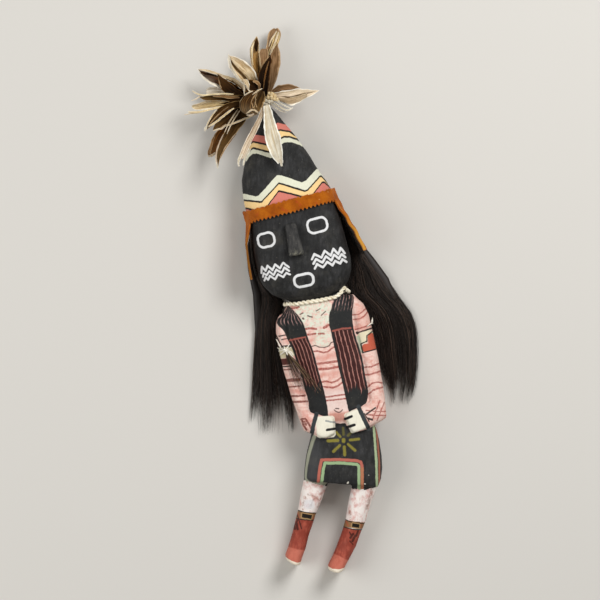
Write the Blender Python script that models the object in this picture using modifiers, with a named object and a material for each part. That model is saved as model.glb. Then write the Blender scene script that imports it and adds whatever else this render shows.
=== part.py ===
# Carved and painted wooden doll with a suede headband, horsehair locks and a plume of dry husks.
# The doll lies on its back: its front faces +Z, its head points to +Y, and the flat back is at Z = 0.
# Sizes below are in millimetres and are turned into metres as the meshes are made.

import math

import bmesh
import bpy
import numpy as np
from mathutils import Vector

MM = 0.001
COLLECTION_NAME = "carved_doll"
CUTTER_COLLECTION_NAME = "carved_doll_cutters"

# Driving dimensions: the carved figure from its soles to the cap's tip, and its depth at the brow
DOLL_LENGTH = 287.2
DOLL_DEPTH = 37.6

# The tables below are the carving at this length and depth, and keep its proportions at any other
CARVED_LENGTH = 287.2
CARVED_DEPTH = 37.6

# Clearance between pieces that touch, and between the soft suede and the head
GAP = 0.35
BAND_GAP = 0.9

# Points round the sections of each lofted form, and the angle past which an edge is shaded sharp
HEAD_POINTS = 40
TORSO_POINTS = 32
LIMB_POINTS = 16
KILT_POINTS = 36
LEG_POINTS = 18
LOCK_POINTS = 14
TUFT_POINTS = 8
EDGE_SEGMENTS = 2
TUBE_RESOLUTION = 2
SHARP_ANGLE = math.radians(40)

# Weights of the two near and the two far points in the middle of a smooth curve's span
NEAR_WEIGHT = 0.5625
FAR_WEIGHT = 0.0625

# Carving: each section runs from a left to a right point in plan and from a back to a front height.
# The last value says how square its front is: 2 is round, 4 nearly flat.
# Cap and head, from the cap's tip down to the chin: y, left x, right x, back z, front z, squareness
HEAD_SECTIONS = (
    (163.6, -8.2, -2.9, 15.6, 20.2, 2.0),
    (159.0, -11.2, 0.0, 13.0, 23.4, 2.0),
    (154.0, -13.8, 2.8, 10.5, 26.8, 2.0),
    (143.0, -19.3, 9.1, 6.0, 31.6, 2.05),
    (131.0, -25.1, 14.9, 2.4, 35.0, 2.1),
    (122.0, -28.2, 18.3, 0.6, 36.6, 2.15),
    (113.0, -29.2, 22.7, -0.6, 37.4, 2.25),
    (104.0, -29.0, 26.0, -1.0, 37.6, 2.5),
    (96.0, -28.0, 26.4, -1.0, 36.6, 3.0),
    (86.0, -28.3, 27.5, -1.0, 36.0, 3.6),
    (76.0, -28.7, 28.2, -1.0, 35.8, 3.8),
    (64.0, -28.5, 29.3, -1.0, 35.4, 3.8),
    (57.0, -26.6, 28.2, -0.8, 34.8, 3.4),
    (50.6, -22.2, 25.2, 0.6, 33.0, 3.0),
    (46.4, -15.8, 20.4, 4.0, 30.0, 2.6),
    (43.8, -8.5, 14.0, 8.0, 26.0, 2.4),
)
HEAD_BACK_SQUARENESS = 2.6

# Torso from the neck, inside the head, down into the kilt
TORSO_SECTIONS = (
    (50.0, -7.0, 15.0, 8.0, 22.0, 2.4),
    (44.5, -12.0, 20.5, 5.5, 23.6, 2.5),
    (40.5, -15.8, 25.0, 4.2, 24.4, 2.7),
    (36.0, -18.4, 28.4, 1.6, 25.0, 2.9),
    (28.0, -20.0, 30.4, -0.8, 25.8, 3.0),
    (12.0, -18.6, 30.8, -1.0, 26.6, 3.0),
    (-6.0, -17.0, 30.4, -1.0, 27.2, 3.0),
    (-20.0, -14.8, 29.0, -1.0, 27.8, 3.0),
    (-30.0, -12.6, 27.0, -1.0, 27.8, 3.0),
    (-40.0, -11.0, 25.0, 0.4, 24.0, 2.8),
)

# Upper arms, shoulder to elbow: y, outer and inner x, back z, front z, squareness
LEFT_ARM_SECTIONS = (
    (37.6, -19.6, -15.4, 12.0, 20.0, 2.2),
    (34.0, -22.4, -14.8, 8.0, 24.4, 2.4),
    (28.0, -23.6, -15.4, 5.4, 26.2, 2.6),
    (16.0, -23.7, -15.2, 4.4, 27.0, 2.7),
    (4.0, -23.2, -13.8, 4.0, 27.4, 2.7),
    (-12.0, -21.3, -11.8, 4.0, 28.0, 2.7),
    (-24.0, -19.4, -10.4, 5.0, 28.6, 2.7),
    (-30.0, -18.4, -9.6, 7.0, 28.6, 2.7),
    (-35.0, -16.8, -10.6, 11.0, 27.6, 2.5),
)
RIGHT_ARM_SECTIONS = (
    (42.4, 21.6, 27.0, 12.0, 20.0, 2.2),
    (39.6, 21.6, 28.6, 9.0, 23.4, 2.4),
    (35.4, 22.6, 32.0, 6.0, 25.4, 2.5),
    (28.0, 23.4, 34.0, 4.6, 26.6, 2.6),
    (12.0, 24.0, 34.7, 4.0, 27.2, 2.7),
    (-4.0, 25.0, 35.1, 4.0, 27.6, 2.7),
    (-18.0, 24.6, 35.0, 4.4, 28.2, 2.7),
    (-28.0, 24.0, 34.6, 6.0, 28.6, 2.7),
    (-35.0, 25.0, 33.8, 10.0, 28.0, 2.5),
)

# Forearms, elbow to wrist: plan point of the top edge, of the bottom edge, back z, front z, squareness
LEFT_FOREARM_SECTIONS = (
    ((-16.2, -26.0), (-17.6, -34.0), 17.0, 28.0, 2.6),
    ((-12.2, -23.6), (-14.6, -36.6), 17.0, 29.6, 2.8),
    ((-9.6, -24.6), (-12.0, -37.2), 18.0, 30.4, 3.0),
    ((-6.6, -26.4), (-8.4, -38.0), 18.0, 30.6, 3.0),
)
RIGHT_FOREARM_SECTIONS = (
    ((33.6, -22.0), (33.6, -35.2), 17.0, 28.0, 2.6),
    ((27.4, -23.2), (29.0, -37.2), 17.0, 29.6, 2.8),
    ((21.4, -25.2), (23.6, -39.0), 18.0, 30.4, 3.0),
    ((17.0, -26.6), (19.8, -39.6), 18.0, 30.6, 3.0),
)

# Hands: plan outline as a rounded plate from HAND_BACK to HAND_FRONT
HAND_BACK = 22.0
HAND_FRONT = 31.4
HAND_EDGE = 1.5
HAND_ROUND = 0.3
LEFT_HAND_OUTLINE = (
    (-10.4, -37.4), (-8.4, -27.6), (-7.2, -26.4), (0.2, -28.0), (1.9, -30.0), (0.9, -39.4),
    (-4.7, -41.0), (-8.6, -40.0),
)
RIGHT_HAND_OUTLINE = (
    (8.9, -30.0), (10.4, -28.2), (15.6, -26.6), (18.6, -27.2), (21.0, -39.2), (18.0, -40.4),
    (12.4, -41.0), (11.2, -39.6),
)

# Finger slits: plan start, plan end past the finger tips, width and depth
FINGER_SLITS = (
    ((-3.6, -30.4), (3.0, -31.6)),
    ((-4.0, -35.0), (3.0, -36.4)),
    ((13.0, -31.4), (7.6, -33.2)),
    ((15.2, -35.6), (8.6, -38.0)),
)
SLIT_WIDTH = 1.3
SLIT_DEPTH = 2.6

# Kilt, waist to hem: left plan point, right plan point, back z, front z, squareness
KILT_SECTIONS = (
    ((-11.6, -30.0), (24.6, -34.0), 2.0, 24.0, 3.0),
    ((-12.9, -36.6), (26.4, -41.0), -0.6, 27.4, 3.2),
    ((-15.5, -42.6), (27.0, -48.4), -1.0, 28.4, 3.4),
    ((-18.6, -49.6), (26.8, -57.0), -1.0, 29.0, 3.6),
    ((-20.8, -56.6), (25.8, -65.4), -1.0, 29.4, 3.8),
    ((-22.4, -63.0), (24.0, -71.6), -1.0, 29.6, 3.8),
    ((-21.4, -64.6), (21.4, -76.0), -0.4, 29.0, 3.6),
)

# Legs from inside the kilt to the boot soles
LEFT_LEG_SECTIONS = (
    ((-18.8, -54.0), (-5.8, -59.4), 7.0, 24.0, 2.6),
    ((-22.3, -63.0), (-8.5, -68.6), 6.0, 24.6, 2.6),
    ((-25.8, -72.0), (-13.2, -77.0), 5.0, 22.6, 2.6),
    ((-29.3, -81.6), (-18.4, -85.2), 3.6, 20.4, 2.6),
    ((-32.6, -89.2), (-22.0, -91.8), 2.6, 18.6, 2.6),
    ((-35.7, -96.0), (-25.6, -98.4), 1.6, 17.8, 2.6),
    ((-39.0, -102.6), (-28.8, -105.6), 0.2, 18.8, 2.8),
    ((-41.8, -107.4), (-31.9, -110.6), -0.8, 22.4, 3.0),
    ((-41.4, -110.2), (-33.4, -114.2), -0.8, 24.6, 3.0),
    ((-39.0, -112.8), (-34.8, -115.2), -0.4, 24.2, 2.8),
)
RIGHT_LEG_SECTIONS = (
    ((8.6, -63.0), (22.6, -66.0), 7.0, 24.0, 2.6),
    ((5.6, -73.0), (20.8, -75.6), 6.0, 24.6, 2.6),
    ((1.8, -82.0), (15.2, -85.6), 5.0, 22.6, 2.6),
    ((-1.9, -92.4), (10.0, -95.8), 3.6, 20.4, 2.6),
    ((-5.4, -99.6), (5.6, -102.6), 2.6, 18.6, 2.6),
    ((-9.5, -106.8), (1.7, -109.6), 1.6, 17.8, 2.6),
    ((-13.2, -112.6), (-2.4, -115.0), 0.2, 18.8, 2.8),
    ((-17.2, -117.8), (-6.2, -119.6), -0.8, 22.4, 3.0),
    ((-17.4, -120.4), (-8.0, -122.4), -0.8, 24.6, 3.0),
    ((-14.4, -122.7), (-10.4, -123.6), -0.4, 24.2, 2.8),
)
BODY_BACK_SQUARENESS = 3.0

# The flat back that the doll rests on is cut at Z = 0
REST_CUT_SIZE = 400.0
REST_CUT_DEPTH = 20.0

# Nose wedge: plan corners at brow end and tip end, and how far each end stands out
NOSE_BROW_Y = 91.0
NOSE_TIP_Y = 71.4
NOSE_BROW_X = (-6.9, -0.2)
NOSE_TIP_X = (-7.7, 1.6)
NOSE_BROW_RISE = 2.6
NOSE_TIP_RISE = 5.6
NOSE_EDGE = 0.9

# Suede headband
SUEDE_THICKNESS = 1.2
BAND_TOP_LEFT_Y = 103.2
BAND_TOP_RIGHT_Y = 107.6
BAND_DEPTH = 8.0
TOOTH_COUNT = 22
TOOTH_DEPTH = 1.1
FLAP_REAR_Z = 9.0
FLAP_FRONT_Z = 30.0
FLAP_COLUMNS = 5
BROW_SAMPLES = 720
# Flaps, brow to lower end: y and x of the suede's inner side
LEFT_FLAP = ((95.0, -30.4), (83.2, -31.5), (72.8, -32.1), (61.7, -32.2))
RIGHT_FLAP = ((99.6, 27.6), (88.2, 30.6), (78.6, 34.0), (67.4, 38.2))

# Locks of hair: y, left x, right x, back z, front z
LEFT_HAIR_SECTIONS = (
    (90.0, -31.0, -26.4, 1.0, 6.0),
    (75.0, -35.0, -28.4, 0.8, 7.4),
    (61.0, -36.0, -28.6, 0.6, 8.4),
    (40.0, -37.0, -24.8, 0.6, 9.4),
    (22.0, -40.0, -25.0, 0.6, 10.0),
    (-5.0, -46.0, -25.0, 0.6, 9.0),
    (-20.0, -50.0, -24.0, 0.6, 7.0),
    (-30.0, -49.0, -26.0, 0.6, 4.0),
)
RIGHT_HAIR_SECTIONS = (
    (92.0, 26.0, 30.6, 1.0, 6.0),
    (76.0, 28.6, 37.0, 0.8, 7.4),
    (64.0, 30.0, 41.0, 0.6, 8.4),
    (50.0, 31.6, 48.4, 0.6, 9.4),
    (33.0, 35.6, 56.0, 0.6, 10.0),
    (16.0, 36.4, 61.6, 0.6, 10.0),
    (-6.0, 36.8, 58.6, 0.6, 8.0),
    (-24.0, 38.0, 53.0, 0.6, 4.0),
)
LOCK_SQUARENESS = 2.2

# Twisted neck cord: angle round the neck (0 is the viewer's right, 90 the front), how far it stands
# off there, and how far it rises above its place right under the chin. It makes one small loop.
CORD_RADIUS = 0.95
NECK_CORD_ROUTE = (
    (90, 0.0, 0.0), (75, 0.0, 0.0), (60, 0.0, 0.2), (46, 0.2, 1.4), (38, 0.8, 3.6), (31, 1.6, 4.4),
    (22, 1.2, 3.0), (8, 0.3, 2.3), (-20, 0.0, 1.8), (-50, 0.0, 1.0), (-75, 0.0, 0.6), (-105, 0.0, 0.6),
    (-135, 0.0, 0.8), (-165, 0.0, 1.2), (165, 0.0, 1.3), (145, 0.0, 0.9), (125, 0.0, 0.3),
    (107, 0.0, 0.0),
)

# Threads tied round the arms: y, angle round the arm, and the thread's radius, largest at the knot
LEFT_TIE_ROUTE = (
    (24.6, 186, 0.5), (23.0, 165, 0.5), (19.6, 125, 0.6), (17.4, 98, 1.2), (15.8, 78, 1.4),
    (13.4, 55, 0.7), (11.6, 40, 0.5),
)
RIGHT_TIE_ROUTE = ((20.4, 60, 0.5), (21.8, 30, 0.6), (24.0, 8, 0.6), (26.4, 14, 0.4))
TIE_SQUARENESS = 2.4

# Tuft at the left tie: plan point, half width and thickness
LEFT_TUFT_SECTIONS = (
    ((-16.6, 9.4), 1.0, 1.2), ((-13.4, 4.4), 1.6, 1.2), ((-8.8, -4.4), 2.8, 1.1),
    ((-3.6, -16.0), 4.0, 0.9),
)
TUFT_GAP = 0.6
TUFT_SQUARENESS = 2.0

# Binding of the plume, right above the tip of the cap, and its barrel's length shares
TIE_X = -4.4
TIE_Z = 18.2
TIE_RADIUS = 3.2
TIE_LENGTH = 8.6
TIE_PROFILE = (-0.5, -0.38, -0.15, 0.15, 0.38, 0.5)
TIE_BULGE = 1.5

# Leaves: how far they start from the binding's furthest edge, and the shape that they share
LEAF_CLEARANCE = 0.3
LEAF_THICKNESS = 0.7
LEAF_BASE_SHARE = 0.1
LEAF_TIP_HALF_WIDTH = 0.35
LEAF_SECTIONS = 7
LEAF_FULLEST = 0.9
# One leaf section: shares of its half width across and of its half thickness up
LEAF_PROFILE = (
    (-1.0, 0.0), (-0.5, 0.7), (0.0, 1.0), (0.5, 0.7),
    (1.0, 0.0), (0.5, -0.7), (0.0, -1.0), (-0.5, -0.7),
)

# Dry leaves: tip x, y, z; greatest width; sideways bow; forward bow; how deeply it is cupped
LEAVES = (
    ((9.4, 209.6, 9.0), 10.6, -1.0, 2.0, 1.6),
    ((-3.8, 206.6, 18.0), 7.6, 1.6, 2.0, 1.2),
    ((2.0, 194.0, 28.0), 6.4, -2.0, 1.6, 1.2),
    ((-22.6, 197.6, 28.0), 9.0, 1.4, 2.0, 1.8),
    ((-41.6, 192.4, 24.0), 8.6, 2.4, 1.6, 1.6),
    ((-30.6, 186.4, 12.0), 8.6, 0.0, 1.0, 1.4),
    ((-40.2, 179.2, 3.4), 5.6, 0.0, -1.0, 1.0),
    ((-48.0, 180.4, 33.0), 4.0, -1.4, 1.4, 1.0),
    ((-54.0, 170.4, 17.0), 6.4, 0.0, 0.6, 1.2),
    ((-44.4, 155.6, 33.0), 6.0, -1.0, 2.0, 1.4),
    ((-38.6, 156.2, 5.6), 5.4, 0.0, -1.0, 1.0),
    ((-45.0, 140.6, 15.0), 7.2, -4.4, 0.6, 1.2),
    ((-39.6, 133.0, 28.0), 7.2, -3.6, 1.4, 1.4),
    ((-19.6, 168.6, 35.0), 12.0, 0.0, 2.0, 2.2),
    ((-12.6, 181.6, 28.0), 6.0, 0.0, 1.0, 1.2),
    ((-28.2, 131.0, 40.0), 4.6, -1.2, 6.8, 1.0),
    ((-2.4, 126.4, 42.6), 8.6, -1.8, 8.4, 1.0),
    ((27.6, 167.8, 23.0), 9.0, 1.6, 2.0, 1.6),
    ((18.0, 173.4, 11.0), 4.0, 0.0, 0.0, 1.0),
    ((12.8, 159.6, 26.0), 3.4, -2.4, 1.0, 0.9),
)


def clear_scene():
    for thing in list(bpy.data.objects):
        bpy.data.objects.remove(thing, do_unlink=True)


def make_collection(name):
    collection = bpy.data.collections.get(name) or bpy.data.collections.new(name)
    if name not in bpy.context.scene.collection.children:
        bpy.context.scene.collection.children.link(collection)
    return collection


def make_material(name, colour, roughness):
    material = bpy.data.materials.new(name)
    material.use_nodes = True
    shader = material.node_tree.nodes["Principled BSDF"]
    shader.inputs["Base Color"].default_value = (*colour, 1.0)
    shader.inputs["Roughness"].default_value = roughness
    shader.inputs["Metallic"].default_value = 0.0
    return material


def rounded_square(angle, square_front, square_back):
    # A point of the curve between a circle and a square, a front and a back half of unlike squareness.
    power = 2 / (square_front if math.sin(angle) > 0 else square_back)
    across = math.copysign(abs(math.cos(angle)) ** power, math.cos(angle))
    up = math.copysign(abs(math.sin(angle)) ** power, math.sin(angle))
    return across, up


def section_ring(left, right, back, front, square_front, square_back, count):
    # One carved section: a ring in the upright plane through two plan points.
    middle = ((left[0] + right[0]) / 2, (left[1] + right[1]) / 2)
    half = ((right[0] - left[0]) / 2, (right[1] - left[1]) / 2)
    mid_z = (back + front) / 2
    half_z = (front - back) / 2
    ring = []
    for index in range(count):
        across, up = rounded_square(2 * math.pi * index / count, square_front, square_back)
        ring.append((middle[0] + across * half[0], middle[1] + across * half[1], mid_z + up * half_z))
    return ring


def plan_size(value):
    return value * DOLL_LENGTH / CARVED_LENGTH


def depth_size(value):
    return value * DOLL_DEPTH / CARVED_DEPTH


def plan_point(point):
    return (plan_size(point[0]), plan_size(point[1]))


def sized_row(section):
    # A row of the tables whose two plan points share one y, at the doll's own size.
    y, left, right, back, front, *square = section
    return (plan_size(y), plan_size(left), plan_size(right), depth_size(back), depth_size(front), *square)


def row_ring(section, square_back, count):
    y, left, right, back, front, square = section
    return section_ring((left, y), (right, y), back, front, square, square_back, count)


def slanted_ring(section, count):
    left, right, back, front, square = section
    return section_ring(plan_point(left), plan_point(right), depth_size(back), depth_size(front), square,
                        BODY_BACK_SQUARENESS, count)


def section_at(sections, y):
    # The section of a table at any y, between its rows.
    rows = np.array([sized_row(section) for section in sections][::-1])
    return [y] + [float(np.interp(y, rows[:, 0], rows[:, column])) for column in range(1, 6)]


def stand_off(section, distance):
    # The same section with its sides, back and front moved out.
    y, left, right, back, front, square = section
    return (y, left - distance, right + distance, back - distance, front + distance, square)


def ring_point(section, square_back, degrees):
    # The point of a section at an angle: 0 is the viewer's right and 90 the front.
    y, left, right, back, front, square_front = section
    across, up = rounded_square(math.radians(degrees), square_front, square_back)
    x = (left + right) / 2 + across * (right - left) / 2
    z = (back + front) / 2 + up * (front - back) / 2
    return x, y, z


def loft(name, rings, material, collection):
    # Skin over closed rings of equal count, with a flat cap at each end.
    mesh = bmesh.new()
    rows = [[mesh.verts.new(Vector(point) * MM) for point in ring] for ring in rings]
    count = len(rows[0])
    for row, following in zip(rows, rows[1:]):
        for index in range(count):
            after = (index + 1) % count
            mesh.faces.new((row[index], row[after], following[after], following[index]))
    mesh.faces.new(rows[0])
    mesh.faces.new(list(reversed(rows[-1])))
    bmesh.ops.recalc_face_normals(mesh, faces=mesh.faces)
    data = bpy.data.meshes.new(name)
    mesh.to_mesh(data)
    mesh.free()
    data.shade_smooth()
    data.set_sharp_from_angle(angle=SHARP_ANGLE)
    thing = bpy.data.objects.new(name, data)
    thing.data.materials.append(material)
    collection.objects.link(thing)
    return thing


def boolean(target, tool, operation):
    # Joins or cuts with the exact solver, then drops the tool's own object.
    modifier = target.modifiers.new(operation.lower(), "BOOLEAN")
    modifier.operation = operation
    modifier.object = tool
    modifier.solver = "EXACT"
    graph = bpy.context.evaluated_depsgraph_get()
    result = bpy.data.meshes.new_from_object(target.evaluated_get(graph))
    target.modifiers.clear()
    target.data = result
    bpy.data.objects.remove(tool, do_unlink=True)


def box_object(name, centre, size, turn, collection):
    mesh = bmesh.new()
    bmesh.ops.create_cube(mesh, size=1.0)
    data = bpy.data.meshes.new(name)
    mesh.to_mesh(data)
    mesh.free()
    thing = bpy.data.objects.new(name, data)
    thing.location = Vector(centre) * MM
    thing.scale = Vector(size) * MM
    thing.rotation_euler.z = turn
    thing.hide_render = True
    thing.display_type = "WIRE"
    collection.objects.link(thing)
    bpy.context.view_layer.update()
    return thing


def tube(name, points, radii, closed, material, collection):
    # A cord or thread: a curve through its points with a radius at each.
    curve = bpy.data.curves.new(name, "CURVE")
    curve.dimensions = "3D"
    curve.bevel_depth = MM
    curve.bevel_resolution = TUBE_RESOLUTION
    curve.use_fill_caps = True
    spline = curve.splines.new("POLY")
    fine_points, fine_radii = smooth_route(points, radii, closed)
    spline.points.add(len(fine_points) - 1)
    for place, point, radius in zip(spline.points, fine_points, fine_radii):
        place.co = (*(Vector(point) * MM), 1.0)
        place.radius = radius
    spline.use_cyclic_u = closed
    thing = bpy.data.objects.new(name, curve)
    thing.data.materials.append(material)
    collection.objects.link(thing)
    return thing


def smooth_route(points, radii, closed):
    # Points on a smooth curve through the route's own points, one between each pair.
    fine_points = []
    fine_radii = []
    count = len(points)
    spans = count if closed else count - 1
    for index in range(spans):
        if closed:
            around = [Vector(points[(index + step) % count]) for step in (-1, 0, 1, 2)]
        else:
            around = [Vector(points[min(max(index + step, 0), count - 1)]) for step in (-1, 0, 1, 2)]
        here = radii[index]
        there = radii[(index + 1) % count]
        fine_points.append(around[1])
        fine_radii.append(here)
        fine_points.append((around[1] + around[2]) * NEAR_WEIGHT - (around[0] + around[3]) * FAR_WEIGHT)
        fine_radii.append((here + there) / 2)
    if not closed:
        fine_points.append(Vector(points[-1]))
        fine_radii.append(radii[-1])
    return fine_points, fine_radii


def carved_figure(collection, cutters, wood):
    figure = loft("carved_figure",
                  [row_ring(sized_row(s), HEAD_BACK_SQUARENESS, HEAD_POINTS) for s in HEAD_SECTIONS],
                  wood, collection)
    level = (
        ("torso", TORSO_SECTIONS, TORSO_POINTS),
        ("left_arm", LEFT_ARM_SECTIONS, LIMB_POINTS),
        ("right_arm", RIGHT_ARM_SECTIONS, LIMB_POINTS),
    )
    for name, sections, count in level:
        rings = [row_ring(sized_row(section), BODY_BACK_SQUARENESS, count) for section in sections]
        boolean(figure, loft(name, rings, wood, cutters), "UNION")
    slanted = (
        ("left_forearm", LEFT_FOREARM_SECTIONS, LIMB_POINTS),
        ("right_forearm", RIGHT_FOREARM_SECTIONS, LIMB_POINTS),
        ("kilt", KILT_SECTIONS, KILT_POINTS),
        ("left_leg", LEFT_LEG_SECTIONS, LEG_POINTS),
        ("right_leg", RIGHT_LEG_SECTIONS, LEG_POINTS),
    )
    for name, sections, count in slanted:
        rings = [slanted_ring(section, count) for section in sections]
        boolean(figure, loft(name, rings, wood, cutters), "UNION")
    for name, outline in (("left_hand", LEFT_HAND_OUTLINE), ("right_hand", RIGHT_HAND_OUTLINE)):
        boolean(figure, hand_plate(name, outline, wood, cutters), "UNION")
    for start, end in FINGER_SLITS:
        boolean(figure, finger_slit(plan_point(start), plan_point(end), cutters), "DIFFERENCE")
    floor = box_object("rest_cut", (0.0, 0.0, -REST_CUT_DEPTH / 2),
                       (plan_size(REST_CUT_SIZE), plan_size(REST_CUT_SIZE), REST_CUT_DEPTH), 0.0, cutters)
    boolean(figure, floor, "DIFFERENCE")
    figure.data.shade_smooth()
    figure.data.set_sharp_from_angle(angle=SHARP_ANGLE)
    return figure


def hand_plate(name, outline, material, collection):
    # A rounded plate: the outline, drawn in towards its middle at the front edge.
    points = [plan_point(point) for point in outline]
    middle = Vector((sum(x for x, y in points) / len(points), sum(y for x, y in points) / len(points)))
    front = depth_size(HAND_FRONT)
    rings = []
    for inset, height in ((0.0, depth_size(HAND_BACK)), (0.0, front - HAND_EDGE),
                          (HAND_EDGE * HAND_ROUND, front - HAND_EDGE * HAND_ROUND), (HAND_EDGE, front)):
        ring = []
        for point in points:
            reach = Vector(point) - middle
            place = middle + reach * (1 - inset / reach.length)
            ring.append((place.x, place.y, height))
        rings.append(ring)
    return loft(name, rings, material, collection)


def finger_slit(start, end, collection):
    along = Vector(end) - Vector(start)
    middle = (Vector(end) + Vector(start)) / 2
    size = (along.length, SLIT_WIDTH, 2 * SLIT_DEPTH)
    centre = (middle.x, middle.y, depth_size(HAND_FRONT))
    return box_object("slit", centre, size, math.atan2(along.y, along.x), collection)


def nose_block(collection, wood):
    # A wedge whose back lies on the face and whose front rises towards the tip.
    ends = (
        (plan_size(NOSE_BROW_Y), NOSE_BROW_X, NOSE_BROW_RISE),
        (plan_size(NOSE_TIP_Y), NOSE_TIP_X, NOSE_TIP_RISE),
    )
    back = max(section_at(HEAD_SECTIONS, y)[4] for y, sides, rise in ends) + GAP
    mesh = bmesh.new()
    bmesh.ops.create_cube(mesh, size=1.0)
    for vertex in mesh.verts:
        y, sides, rise = ends[1] if vertex.co.y < 0 else ends[0]
        x = plan_size(sides[0] if vertex.co.x < 0 else sides[1])
        z = back + (rise if vertex.co.z > 0 else 0.0)
        vertex.co = Vector((x, y, z)) * MM
    data = bpy.data.meshes.new("nose_block")
    mesh.to_mesh(data)
    mesh.free()
    thing = bpy.data.objects.new("nose_block", data)
    thing.data.materials.append(wood)
    collection.objects.link(thing)
    bevel = thing.modifiers.new("worn_edges", "BEVEL")
    bevel.width = NOSE_EDGE * MM
    bevel.segments = EDGE_SEGMENTS
    bevel.limit_method = "ANGLE"
    return thing


def brow_line(share):
    # Points of the band's front at one share of its depth, left to right, outside the head's surface.
    y = plan_size((BAND_TOP_LEFT_Y + BAND_TOP_RIGHT_Y) / 2 - BAND_DEPTH * share)
    section = stand_off(section_at(HEAD_SECTIONS, y), BAND_GAP)
    ring = np.array(row_ring(section, HEAD_BACK_SQUARENESS, BROW_SAMPLES))
    front = ring[ring[:, 2] > depth_size(FLAP_FRONT_Z)]
    return front[np.argsort(front[:, 0])]


def resample(line, count):
    steps = np.linalg.norm(np.diff(line, axis=0), axis=1)
    along = np.concatenate(([0.0], np.cumsum(steps)))
    places = np.linspace(0.0, along[-1], count)
    return np.stack([np.interp(places, along, line[:, axis]) for axis in range(3)], axis=1)


def leather_headband(collection, suede):
    # One sheet of suede: the brow strip with its pinked edge, and a flap at each side.
    columns = 2 * TOOTH_COUNT + 1
    top = resample(brow_line(0.0), columns)
    bottom = resample(brow_line(1.0), columns)
    slope = plan_size(BAND_TOP_RIGHT_Y - BAND_TOP_LEFT_Y)
    mesh = bmesh.new()
    rows = []
    for column in range(columns):
        tilt = slope * (column / (columns - 1) - 0.5)
        tooth = TOOTH_DEPTH if column % 2 == 0 else 0.0
        upper = Vector((top[column][0], top[column][1] + tilt, top[column][2]))
        lower = Vector((bottom[column][0], bottom[column][1] + tilt + tooth, bottom[column][2]))
        rows.append([mesh.verts.new(point * MM) for point in (upper, lower)])
    for first, second in zip(rows, rows[1:]):
        mesh.faces.new((first[0], first[1], second[1], second[0]))
    for side, flap in ((0, LEFT_FLAP), (-1, RIGHT_FLAP)):
        add_flap(mesh, rows[side], flap, side == 0)
    bmesh.ops.recalc_face_normals(mesh, faces=mesh.faces)
    if sum(face.normal.z for face in mesh.faces) < 0:
        bmesh.ops.reverse_faces(mesh, faces=mesh.faces)
    data = bpy.data.meshes.new("leather_headband")
    mesh.to_mesh(data)
    mesh.free()
    thing = bpy.data.objects.new("leather_headband", data)
    thing.data.materials.append(suede)
    collection.objects.link(thing)
    solidify = thing.modifiers.new("suede", "SOLIDIFY")
    solidify.thickness = SUEDE_THICKNESS * MM
    solidify.offset = 1.0
    solidify.use_even_offset = True
    return thing


def add_flap(mesh, strip_end, flap, is_left):
    # The sheet goes on from the brow strip's end, back along the head's side and down beside the face.
    places = [(vertex.co.x / MM, vertex.co.y / MM) for vertex in strip_end]
    places += [plan_point((x, y)) for y, x in flap[1:]]
    front_z = depth_size(FLAP_FRONT_Z)
    rear_z = depth_size(FLAP_REAR_Z)
    columns = [list(strip_end) + [mesh.verts.new(Vector((x, y, front_z)) * MM) for x, y in places[2:]]]
    for step in range(1, FLAP_COLUMNS):
        z = front_z + (rear_z - front_z) * step / (FLAP_COLUMNS - 1)
        column = []
        for index, (x, y) in enumerate(places):
            if index < len(strip_end):
                section = stand_off(section_at(HEAD_SECTIONS, y), BAND_GAP)
                x = min(x, section[1]) if is_left else max(x, section[2])
            column.append(mesh.verts.new(Vector((x, y, z)) * MM))
        columns.append(column)
    for column, following in zip(columns, columns[1:]):
        for row in range(len(column) - 1):
            mesh.faces.new((column[row], column[row + 1], following[row + 1], following[row]))


def hair_lock(name, sections, collection, hair):
    rings = []
    for section in sections:
        rings.append(row_ring((*sized_row(section), LOCK_SQUARENESS), LOCK_SQUARENESS, LOCK_POINTS))
    return loft(name, rings, hair, collection)


def neck_cord(collection, thread):
    # Round the neck, clear of the neck's surface and of the chin above it.
    height = plan_size(HEAD_SECTIONS[-1][0]) - GAP - CORD_RADIUS
    neck = section_at(TORSO_SECTIONS, height)
    points = []
    for degrees, outward, rise in NECK_CORD_ROUTE:
        section = stand_off(neck, GAP + CORD_RADIUS + outward)
        x, y, z = ring_point(section, BODY_BACK_SQUARENESS, degrees)
        points.append((x, y + rise, z))
    return tube("neck_cord", points, [CORD_RADIUS] * len(points), True, thread, collection)


def arm_tie(name, arm, route, collection, thread):
    # A thread that lies on an arm, with a knot where its radius is largest.
    points = []
    for y, degrees, radius in route:
        section = section_at(arm, plan_size(y))
        section[5] = TIE_SQUARENESS
        points.append(ring_point(stand_off(section, 2 * GAP + radius), BODY_BACK_SQUARENESS, degrees))
    return tube(name, points, [radius for y, degrees, radius in route], False, thread, collection)


def arm_tuft(collection, hair):
    places = [Vector(plan_point(place)) for place, half_width, thickness in LEFT_TUFT_SECTIONS]
    along = (places[-1] - places[0]).normalized()
    side = Vector((-along.y, along.x))
    rings = []
    for middle, (place, half_width, thickness) in zip(places, LEFT_TUFT_SECTIONS):
        under = max(section_at(sections, middle.y)[4] for sections in (TORSO_SECTIONS, LEFT_ARM_SECTIONS))
        back = under + TUFT_GAP
        reach = side * half_width
        rings.append(section_ring(middle - reach, middle + reach, back, back + thickness,
                                  TUFT_SQUARENESS, TUFT_SQUARENESS, TUFT_POINTS))
    return loft("arm_tuft_left", rings, hair, collection)


def tie_centre():
    cap_tip = plan_size(HEAD_SECTIONS[0][0])
    return Vector((plan_size(TIE_X), cap_tip + GAP + TIE_LENGTH / 2, depth_size(TIE_Z)))


def tie_reach(share):
    # The binding's radius at a share of its length.
    return TIE_RADIUS * math.sqrt(1.0 - (TIE_BULGE * share) ** 2)


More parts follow.
